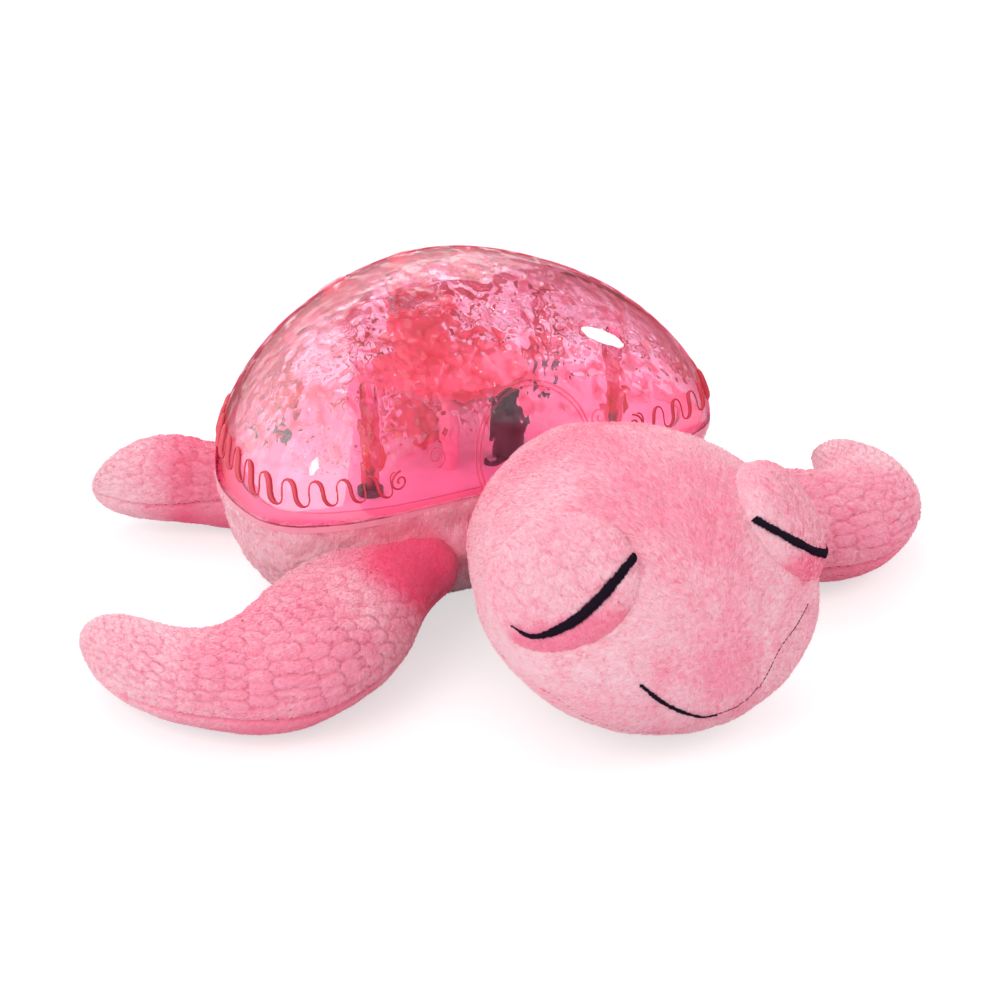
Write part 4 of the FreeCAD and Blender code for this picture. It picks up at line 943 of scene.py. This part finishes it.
FRONT_SPINE = [
    (-169, 41, 15),
    (-171, 18, 17),
    (-161, -17, 19),
    (-133, -38, 21),
    (-98, -25, 23),
    (-60, 5, 26),
    (-45, 17, 27),
]
REAR_SPINE = [(-128, 150, 19), (-116, 142, 21), (-90, 127, 22), (-56, 101, 24)]
LEFT_TURN = math.radians(-5)
SEAM_TURNS = (-0.24, 0.24 - math.pi)
SHOULDER = np.array((60.0, -22.0, 40.0))


def mirrored_spine(spine, turn=0.0, pivot=(60.0, 5.0)):
    made = []
    for x, y, z in spine:
        dx, dy = -x - pivot[0], y - pivot[1]
        turned_x = pivot[0] + dx * math.cos(turn) - dy * math.sin(turn)
        turned_y = pivot[1] + dx * math.sin(turn) + dy * math.cos(turn)
        made.append((turned_x, turned_y, z))
    return made


def wrapped(turns):
    """The size of each angle, the short way round."""
    return np.abs(np.mod(turns + math.pi, 2 * math.pi) - math.pi)


def comb_spine(points, spine):
    """Towards the tip and a little down, as pile is stroked."""
    dense = curve_through(spine)
    steps = -unit(np.gradient(dense, axis=0))
    way = steps[np.argmin(lengths(points[:, None, :2] - dense[None, :, :2]), axis=1)]
    way[:, 2] -= 0.35
    return way


class Form:
    """How a cover is dressed; a plain one is bare nowhere and isn't lifted."""

    def bare(self, points):
        return np.zeros(len(points))

    def lift(self, points, normals):
        return 0.0


class Flipper(Form):
    def __init__(self, spine, seed, scale_mm, relief):
        self.spine = spine
        self.seed = seed
        self.scale_mm = scale_mm
        self.relief = relief

    def places(self, points):
        run, turn = spine_places(points, curve_through(self.spine))
        length = run.max()
        gap = np.minimum(wrapped(turn - SEAM_TURNS[0]), wrapped(turn - SEAM_TURNS[1]))
        seam = bell(gap * FLIPPER_RADIUS, 1.6) * smooth_step(length, length * 0.8, run)
        return run, turn, length, seam

    def seam(self, points, normals):
        return self.places(points)[3]

    def dress(self, points, normals):
        run, turn, length, seam = self.places(points)
        size = 0.62 + 0.62 * run / length
        along = np.log(size) * length / 0.62
        round_it = turn * FLIPPER_RADIUS / size
        height = scale_rows(along, round_it, self.scale_mm, self.scale_mm * 1.05)
        fade = smooth_step(length * 0.96, length * 0.6, run) * smooth_step(0, 6, run)
        fade *= smooth_step(-0.35, 0.1, normals[:, 2])
        rise = self.relief * (height - 0.45) * fade - 1.5 * seam
        rise += 0.8 * lumps(points, 26.0, self.seed) + 0.3 * lumps(points, 9.0, self.seed + 1)
        groove = lacking(height, 0.6) * fade + seam
        centre = SHOULDER * (math.copysign(1, self.spine[0][0]), 1, 1)
        # Deeper pink in the middle of the flipper, paler at its tip.
        middle = 0.6 * bell(run / length - 0.5, 0.15) - 0.3 * bell(run / length, 0.28)
        # Painted shade and painted bounced light: hot pink in the fold at the shoulder.
        shade_and_tint = middle + 1.6 * bell_at(points, centre, 24.0)
        # Painted shade: deeper pink on the underside.
        shade_and_tint += 0.2 * smooth_step(0, -0.6, normals[:, 2])
        # Deeper pink towards the root.
        if length > 150:
            shade_and_tint += 0.5 * smooth_step(0.84, 0.96, run / length)
        else:
            shade_and_tint += 0.8 * smooth_step(0.35, 0.9, run / length)
        return rise, groove, shade_and_tint

    def comb(self, points):
        return comb_spine(points, self.spine)


CHIN_SEAM = [
    (-67, -60, 42),
    (-66, -82, 39),
    (-63, -110, 33),
    (-58, -123, 30),
    (-49, -134, 20),
    (-35, -141, 13),
    (-18, -145, 10),
    (0, -146, 9),
]
CHEEK_LINE = [(-47, -135, 56), (-41, -139, 57), (-34, -143, 54), (-27, -147, 49), (-22, -149, 43)]


# Spots where the head's pink is made deeper; the one with a negative strength makes the near cheek, which
# faces the lamps, paler as painted light.
HEAD_SHADE_AND_TINT = (
    ((0.0, -118.0, 90.0), 30.0, 0.5),
    ((-4.0, -152.0, 40.0), 22.0, 0.35),
    ((-10.0, -70.0, 104.0), 34.0, 0.5),
    ((-62.0, -98.0, 46.0), 34.0, -0.45),
)


def both_sides(path):
    return np.array(path + [(-x, y, z) for x, y, z in reversed(path[:-1])], float)


class Head(Form):
    chin = curve_through(both_sides(CHIN_SEAM))
    cheek = curve_through(CHEEK_LINE)

    def seam(self, points, normals):
        return bell(nearest_gap(points, self.chin), 1.8)

    def dress(self, points, normals):
        seam = self.seam(points, normals)
        sides = (points * (side, 1, 1) for side in (1, -1))
        cheeks = sum(bell(nearest_gap(side, self.cheek), 1.8) for side in sides)
        rise = 1.1 * lumps(points, 34.0, 3) + 0.5 * lumps(points, 11.0, 4)
        rise -= 1.6 * seam + 0.9 * cheeks
        plates = scale_rows(-points[:, 1], points[:, 0], 15.0, 17.0)
        centre = smooth_step(32, 14, np.abs(points[:, 0])) * smooth_step(-60, -100, points[:, 1])
        rise += 0.7 * (plates - 0.5) * centre
        groove = seam + 0.5 * cheeks + 0.3 * lacking(plates, 0.5) * centre
        # Painted shade: deeper pink on the underside.
        shade_and_tint = 0.12 * smooth_step(0.1, -0.6, normals[:, 2])
        for spot, reach, strength in HEAD_SHADE_AND_TINT:
            shade_and_tint += strength * bell_at(points, spot, reach)
        return rise, groove, shade_and_tint

    def bare(self, points):
        path = dropped(evenly(curve_through(MOUTH), 3.0), MOUTH_OUT, ["plush_head"])[0]
        return bell(nearest_gap(points, path), 1.0)

    def comb(self, points):
        back = np.ones(len(points))
        return np.column_stack([points[:, 0] * 0.012, back, -0.25 * back])


class Torso(Form):
    def pocket(self, points):
        """How far out each point is over the pocket: 1 at its edge."""
        return np.hypot(points[:, 0] / 108, (points[:, 1] - 58) / 76)

    def seam(self, points, normals):
        inside = self.pocket(points) < 0.86
        return ((normals[:, 2] < -0.5) | (points[:, 2] > 44) | inside).astype(float)

    def dress(self, points, normals):
        way = self.comb(points)
        turn = np.arctan2(way[:, 1], way[:, 0])
        cells = scale_rows(52 - points[:, 2], turn * 92.0, 13.0, 15.0)
        outside = self.pocket(points) > 0.8
        fade = smooth_step(0.1, 0.5, np.hypot(normals[:, 0], normals[:, 1])) * outside
        fade *= smooth_step(2, 8, points[:, 2]) * smooth_step(50, 46, points[:, 2])
        rise = (2.0 * (cells - 0.6) + 0.9 * lumps(points, 24.0, 5)) * fade
        near = lengths(points * (-1, 1, 1) - SHOULDER)
        far = lengths(points - SHOULDER)
        chest = smooth_step(18, -14, points[:, 1]) * smooth_step(95, 60, np.abs(points[:, 0]))
        # Painted shade: hot pink in the folds at the shoulders and under the neck, a little paler
        # elsewhere.
        shade_and_tint = 0.6 * bell(np.minimum(near, far), 22.0) + 0.6 * chest - 0.25
        chest = chest * smooth_step(46, 30, points[:, 2])
        rise += 13.0 * chest * smooth_step(0.6, -0.1, normals[:, 2])
        room = points[:, 2] / np.maximum(-normals[:, 2], 1e-9)
        rise = np.where(normals[:, 2] < -0.05, np.minimum(rise, room), rise)
        rise += 2.4 * self.lip(points, normals)
        return rise, 0.8 * lacking(cells, 0.5) * fade, shade_and_tint

    def lip(self, points, normals):
        """1 at the outer edge of the pocket, which laps over the flange of the unit."""
        way = unit(np.column_stack([points[:, 0], (points[:, 1] - 63.5) * 2.0]))
        out = np.sum(way * normals[:, :2], axis=1)
        return smooth_step(0.0, 0.4, out) * smooth_step(41, 47, points[:, 2])

    def lift(self, points, normals):
        return 3.4 * self.lip(points, normals)

    def comb(self, points):
        down = np.full(len(points), -1.0)
        return np.column_stack([points[:, 0] / 108, (points[:, 1] - 60) / 70, down])


class Flap(Form):
    def seam(self, points, normals):
        return (np.abs(normals[:, 2]) < 0.5).astype(float)

    def dress(self, points, normals):
        return np.zeros(len(points)), np.zeros(len(points)), np.full(len(points), 0.2)

    def comb(self, points):
        return np.tile((0.0, 1.0, 0.0), (len(points), 1))


TUFT_WIDTH, TUFT_LEAN = 0.46, math.radians(80)


def add_cover(node, mesh, form, tufts, body="root", length=2.1, fill=0.8):
    """Dresses a refined cover and gives it its pile, so many tufts to a square millimetre."""
    points, normals = points_of(mesh), normals_of(mesh)
    rise, groove, shade_and_tint = form.dress(points, normals)
    points = points + normals * rise[:, None]
    points[:, 2] = np.maximum(points[:, 2] + form.lift(points, normals), 0.3)
    move_points(mesh, points)
    skins[node] = tree_of(mesh)
    store(mesh, "groove", groove)
    store(mesh, "shade_and_tint", shade_and_tint)
    store(mesh, "cover", smooth_step(0.8, 2.5, points[:, 2]) * (1 - form.bare(points)))
    store_ways(mesh, "comb", unit(form.comb(points)))
    mesh.materials.append(SKIN)
    mesh.polygons.foreach_set("use_smooth", [True] * len(mesh.polygons))
    piece = add_object(f"{node}_cover", mesh)
    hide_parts(node)
    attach(piece, body)
    pile = grow(
        f"{node}_pile",
        mesh.copy(),
        PILE_PLAN,
        Density=tufts / MM**2,
        Length=length * MM,
        Width=TUFT_WIDTH * MM,
        Lean=TUFT_LEAN,
        Finish=PILE,
    )
    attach(pile, body)


def add_soft_piece(node, form, voxel_mm, levels, tufts, **others):
    mesh = with_modifier(merged_copy(node), "REMESH", mode="VOXEL", voxel_size=voxel_mm * MM)
    mesh = with_modifier(mesh, "SMOOTH", factor=0.5, iterations=3)
    # Painted shade: how shut in each point is, kept for the pile's colour.
    store(mesh, "fold_shade", hollowness(mesh))
    mesh = puff(mesh, form.seam(points_of(mesh), normals_of(mesh)))
    mesh = with_modifier(mesh, "SUBSURF", levels=levels, render_levels=levels)
    add_cover(node, mesh, form, tufts, **others)


EYELID_CENTRE = np.array((49.0, -118.0, 77.0))
EYELID_OUT = (0.56, -0.58, 0.59)
EYE_LINE = [
    (66, -108.6, 55.7),
    (62.6, -119.4, 55.8),
    (54, -128.6, 62.8),
    (44.7, -133.4, 72.5),
    (29.6, -132.2, 84.8),
]
FAR_EYE_LINE = EYE_LINE[:3] + [
    (44.3, -134.2, 70.8),
    (35.8, -136, 77),
    (29.6, -135.1, 81.5),
    (24, -130.1, 85.6),
]
EYE_WIDTHS = (0.2, 1.5, 2.6, 2.5, 1.7)
FAR_EYE_WIDTHS = (0.4, 1.7, 1.9, 1.9, 1.8)


def as_rows(hits):
    """The places of hits, in millimetres, and how the surface faces there."""
    return np.array([np.array(hit[0]) / MM for hit in hits]), np.array([hit[1] for hit in hits])


def dropped(points, outward, names, reach=40.0):
    """Where straight drops onto covers land, and how those covers face there."""
    landed = []
    for point, out in zip(points, np.broadcast_to(outward, points.shape)):
        start = Vector((point + out * reach) * MM)
        hits = [skins[name].ray_cast(start, Vector(-out)) for name in names]
        hits = [hit for hit in hits if hit[0] is not None]
        if hits:
            landed.append(min(hits, key=lambda hit: hit[3]))
    spots, facing = as_rows(landed)
    return spots, unit(blurred(facing))


def blurred(rows, turns=6):
    for _ in range(turns):
        rows = np.vstack([rows[:1], (rows[:-2] + rows[1:-1] * 2 + rows[2:]) / 4, rows[-1:]])
    return rows


def sew_across(name, path, rises, widths, finish):
    """Satin stitches side by side along a path, as long as the line is wide there."""
    along = unit(np.gradient(path, axis=0))
    across = unit(np.cross(rises, along))
    count = len(path)
    jitter = hashed(np.arange(count))
    half = np.interp(np.linspace(0, 1, count), np.linspace(0, 1, len(widths)), widths)
    high = np.minimum(0.7, 0.25 + half * 0.4)
    sizes = np.column_stack([half + 0.6 * jitter, np.full(count, 0.36), high])
    lay_stitches(name, path + rises * 0.45, across + 0.35 * along, rises, sizes, finish)


def sew_along(name, path, rises, half_long, half_wide, finish, lift=0.2):
    """Stitches end to end along a path."""
    along = unit(np.gradient(path, axis=0))
    count = len(path)
    jitter = hashed(np.arange(count), 3)[:, None]
    across = np.cross(rises, along)
    sizes = np.tile((half_long, half_wide, half_wide), (count, 1)) * (1 + 0.3 * jitter)
    ways = along + 0.25 * jitter * across
    lay_stitches(name, path + rises * lift, ways, rises, sizes, finish)


class Eyelid(Form):
    """A mound of plush on the head, scaled above the eye line and deeper pink below it, which is painted
    shade under the lid.
    """

    def __init__(self, name, side, line, widths):
        self.name = name
        self.side = side
        outward = Vector((side * EYELID_OUT[0], EYELID_OUT[1], EYELID_OUT[2])).normalized()
        along = Vector((-side * 0.81, -0.52, 0.28))
        along = (along - outward * along.dot(outward)).normalized()
        self.out = np.array(outward)
        self.along = np.array(along)
        self.down = np.array(outward.cross(along)) * side
        self.centre = EYELID_CENTRE * (side, 1, 1)
        self.line = evenly(curve_through(np.array(line) * (side, 1, 1)), 0.5)
        self.widths = widths

    def mound(self):
        """The mound's closed form between the head's cover and the lid's own outer face."""
        rings, turns, reach = 44, 150, 36.0
        outer, inner = [], []
        way = Vector(-self.out)
        trees = skins["plush_head"], solids["plush_head"], solids[f"{self.name}_eyelid_patch"]
        for i in range(rings + 1):
            for k in range(turns):
                away = reach * (i / rings) ** 0.8
                turn = 2 * math.pi * k / turns
                side = math.cos(turn) * self.along + math.sin(turn) * self.down
                flat = self.centre + away * side
                start = Vector((flat + self.out * 40) * MM)
                skin, head, lid = (tree.ray_cast(start, way)[3] for tree in trees)
                rise = -1.0
                if lid is not None and head is not None:
                    rise = max(rise, (head - lid) / MM)
                base = flat + self.out * (40 - (skin or 0.05) / MM)
                outer.append(base + self.out * (rise + 0.2))
                inner.append(base - self.out * 3.0)
        count = len(outer)
        faces = []
        for i in range(rings):
            for k in range(turns):
                a, b = i * turns + k, i * turns + (k + 1) % turns
                faces.append((a, a + turns, b + turns, b))
                faces.append((a + count, b + count, b + turns + count, a + turns + count))
        for k in range(turns):
            a, b = rings * turns + k, rings * turns + (k + 1) % turns
            faces.append((a, a + count, b + count, b))
        mesh = bpy.data.meshes.new(f"{self.name}_eyelid")
        mesh.from_pydata([tuple(point) for point in np.array(outer + inner) * MM], [], faces)
        weld(mesh, turn_out=True)
        return with_modifier(mesh, "SMOOTH", factor=0.5, iterations=4)

    def dress(self, points, normals):
        away = points - self.centre
        low = away @ self.down
        rows = scale_rows(low + 40, away @ self.along, 7.0, 8.0)
        fade = smooth_step(0.3, 0.7, normals @ self.out)
        above = fade * smooth_step(21, 15, low)
        rise = 0.8 * (rows - 0.5) * above + 0.35 * lumps(points, 10.0, 6 + self.side) * fade
        groove = 0.7 * lacking(rows, 0.5) * above
        # Painted shade: deeper pink below the eye line.
        return rise, groove, 0.75 * smooth_step(14, 19, low) + 0.05 * above

    def laid_line(self):
        """The eye line on the covers; the part that shows keeps its place in the picture."""
        shown = unit(np.array(scene.camera.location) / MM - self.line)
        hidden = smooth_step(44, 52, self.line[:, 0])[:, None]
        outward = unit(shown * (1 - hidden) + self.out * hidden)
        return dropped(self.line, outward, [f"{self.name}_eyelid_patch", "plush_head"])

    def bare(self, points):
        path, _ = self.laid_line()
        return bell(nearest_gap(points, path[::6]), 1.8)

    def comb(self, points):
        return np.tile(-self.along * 0.3 - self.down, (len(points), 1))

    def add(self):
        node = f"{self.name}_eyelid_patch"
        mesh = self.mound()
        reach = lengths(np.cross(points_of(mesh) - self.centre, self.out))
        # Painted shade: deeper pink round the edge of the lid, where it meets the head.
        store(mesh, "fold_shade", 0.45 * smooth_step(22, 30, reach))
        mesh = with_modifier(mesh, "SUBSURF", levels=1, render_levels=1)
        add_cover(node, mesh, self, 1.3, length=1.4, fill=0.6)
        path, rises = self.laid_line()
        sew_across(f"{self.name}_eye_line", path, rises, self.widths, EYE_THREAD)


MOUTH = [(-33.9, -146.8, 39.8), (-24.7, -150.8, 30.9), (-10.9, -153.1, 23), (-4.9, -153.5, 22.2)]
MOUTH_END = [
    (-4.9, -153.5, 22.2),
    (5.2, -154, 23.7),
    (11.7, -153.8, 28),
    (23.4, -150.3, 39.3),
    (33.8, -146.1, 43.5),
    (44.1, -140.3, 47.7),
]
MOUTH_OUT = np.array((0.0, -0.97, -0.24))


def add_mouth():
    path, rises = dropped(evenly(curve_through(MOUTH), 0.5), MOUTH_OUT, ["plush_head"])
    sew_across("mouth_line", path, rises, (0.7, 0.9, 0.6, 0.35), EYE_THREAD)
    path, rises = dropped(evenly(curve_through(MOUTH_END), 1.7), MOUTH_OUT, ["plush_head"])
    sew_along("mouth_end_line", path, rises, 1.0, 0.24, SMILE_THREAD, 0.1)


SEAM_PITCH = 2.2


def sew_seam(name, hits):
    path, rises = as_rows(hits)
    sew_along(name, path, unit(rises), 0.85, 0.2, SEAM_THREAD, 0.0)


def add_chin_seam():
    skin = skins["plush_head"]
    hits = [skin.find_nearest(Vector(point * MM)) for point in evenly(Head.chin, SEAM_PITCH)]
    sew_seam("chin_seam", hits)


def add_flipper_seam(node, form):
    """The seam's thread along both edges of a flipper, seen between the tufts."""
    spine = evenly(curve_through(form.spine), SEAM_PITCH)
    steps = np.gradient(spine, axis=0)
    steps[:, 2] = 0
    steps = unit(steps)
    for k, turn in enumerate(SEAM_TURNS):
        hits = []
        for spot, step in zip(spine, steps):
            side = np.array((-step[1], step[0], 0.0))
            up = np.array((0, 0, FLIPPER_HALF_HIGH * math.sin(turn)))
            way = Vector(side * FLIPPER_HALF_WIDE * math.cos(turn) + up)
            hits.append(skins[node].ray_cast(Vector(spot * MM), way.normalized()))
        hits = [hit for hit in hits if hit[0] is not None]
        if len(hits) > 4:
            sew_seam(f"{node}_seam_{k + 1}", hits)


def add_plush():
    head = Head()
    add_soft_piece("plush_head", head, 4.0, 2, 0.95)
    add_mouth()
    add_chin_seam()
    Eyelid("right", -1, EYE_LINE, EYE_WIDTHS).add()
    Eyelid("left", 1, FAR_EYE_LINE, FAR_EYE_WIDTHS).add()
    add_soft_piece("plush_body", Torso(), 2.6, 1, 0.5)
    left_front = mirrored_spine(FRONT_SPINE, LEFT_TURN)
    left_rear = mirrored_spine(REAR_SPINE, 0.0, (0.0, 0.0))
    rows = (
        ("front_right_flipper", Flipper(FRONT_SPINE, 1, 6.6, 2.1), 1.1),
        ("front_left_flipper", Flipper(left_front, 2, 6.6, 2.1), 1.1),
        ("rear_right_flipper", Flipper(REAR_SPINE, 3, 9.0, 1.6), 1.1),
        ("rear_left_flipper", Flipper(left_rear, 4, 9.0, 1.6), 1.1),
    )
    for node, form, tufts in rows:
        add_soft_piece(node, form, 2.9, 2, tufts, length=1.5)
        add_flipper_seam(node, form)
    add_soft_piece("belly_flap", Flap(), 1.5, 1, 0.5, body="belly_flap", length=1.2)


# Raised lines moulded in the dome

DOME_AXIS = np.array((0.0, 58.0, 0.0))
WAVE_PITCH, WAVE_SWAY, WAVE_SLANT = 11.0, 4.6, 1.7


def dome_wall(origin, way):
    hit = solids["shell_dome"].ray_cast(Vector(origin * MM), Vector(way))[0]
    return None if hit is None else np.array(hit) / MM


def rim_spot(turn, height):
    way = np.array((math.cos(turn), math.sin(turn), 0.0))
    return dome_wall(DOME_AXIS + way * 240 + (0, 0, height), -way)


def found(spots):
    return np.array([spot for spot in spots if spot is not None])


def spiral(centre, start_turn, radius, turns, hand=1, steps=40):
    """Points of a flat curl that winds in to its centre."""
    made = []
    for share in np.linspace(0, 1, steps):
        turn = start_turn + hand * share * turns * 2 * math.pi
        reach = radius * (1 - 0.85 * share)
        made.append((centre[0] + reach * math.cos(turn), centre[1] + reach * math.sin(turn)))
    return made


def add_wave_border():
    """The running wave round the foot of the dome, with a curl at each end."""
    first = math.atan2(-2.0 - DOME_AXIS[1], -46.0) % (2 * math.pi)
    last = first - 2 * (first - 1.5 * math.pi) - 2 * math.pi
    turns = np.linspace(first, last, 721)
    rail = np.array([rim_spot(turn, 67.0) for turn in turns])
    runs = runs_along(rail)

    def laid(flat_points):
        made = []
        for run, rise in flat_points:
            turn = np.interp(run, runs, turns)
            spot = np.array([np.interp(run, runs, rail[:, i]) for i in range(3)])
            made.append(rim_spot(turn, 66.0 + 4.0 * smooth_step(0, 55, spot[1]) + rise))
        return found(made)

    room = runs[-1] - 18.0
    waves = round(room / WAVE_PITCH)
    pitch = room / waves
    angles = np.linspace(0, waves * 2 * math.pi, waves * 22 + 1)
    hand = smooth_step(0.52, 0.48, angles / angles[-1]) * 2 - 1
    slant = WAVE_SLANT * hand * np.cos(angles)
    places = 9 + angles / (2 * math.pi) * pitch + slant + 0.8 * np.sin(2 * angles)
    wave = np.column_stack([places, WAVE_SWAY * np.cos(angles)])
    rising = 0.5 - 0.5 * hand * np.sin(angles)
    border = laid(wave)
    bold = smooth_step(-12, 22, border[:, 1])
    thick = 0.3 + 0.1 * bold + (0.25 + 0.75 * bold) * smooth_step(0.3, 0.9, rising[: len(border)])
    raise_ridges("wave_border", [border], thick, WAVE_RED)
    end = runs[-1] - 9.0
    curls = [
        laid(spiral((8.0, 0.6), math.pi / 2, 4.0, 1.4, -1)),
        laid(spiral((end + 1.0, 0.6), math.pi / 2, 4.0, 1.4, 1)),
    ]
    raise_ridges("wave_end_curls", curls, 0.42, WAVE_RED)


def add_medallion():
    """The plain ringed medallion on the dome's front, with a curl beside it on each hand."""
    lines = []
    for radius in (26.8, 25.0):
        ring = []
        for turn in np.linspace(math.radians(-24), math.radians(204), 90):
            spot = np.array((6 + radius * math.cos(turn), -140, 66 + radius * math.sin(turn)))
            ring.append(dome_wall(spot, (0, 1, 0)))
        lines.append(found(ring))
    for side in (-1, 1):
        curl = spiral((side * 38.0, 73.0), -math.pi / 2, 4.4, 1.4, -side)
        lines.append(found(dome_wall(np.array((x, -140, z)), (0, 1, 0)) for x, z in curl))
    raise_ridges("medallion_rings", lines, 0.42, RING_PINK)


def add_post_marks():
    """Red stiffening ribs up the sides of each screw post's head."""
    lines = []
    rise = np.linspace(0, 1, 16)
    for x, y in POSTS:
        for side in (-1, 1):
            bow = side * (2.3 + 1.0 * np.sin(math.pi * rise))
            lines.append(np.column_stack([x + bow * 0.87, y - 3.9 - bow * 0.4, 65 + 10.5 * rise]))
    thick = 0.4 + 1.1 * np.sin(math.pi * rise)
    raise_ridges("post_marks", lines, thick, POST_RED)


add_camera()
light_the_studio()
add_floor()
finish_cad_nodes()
add_plush()
add_wave_border()
add_medallion()
add_post_marks()
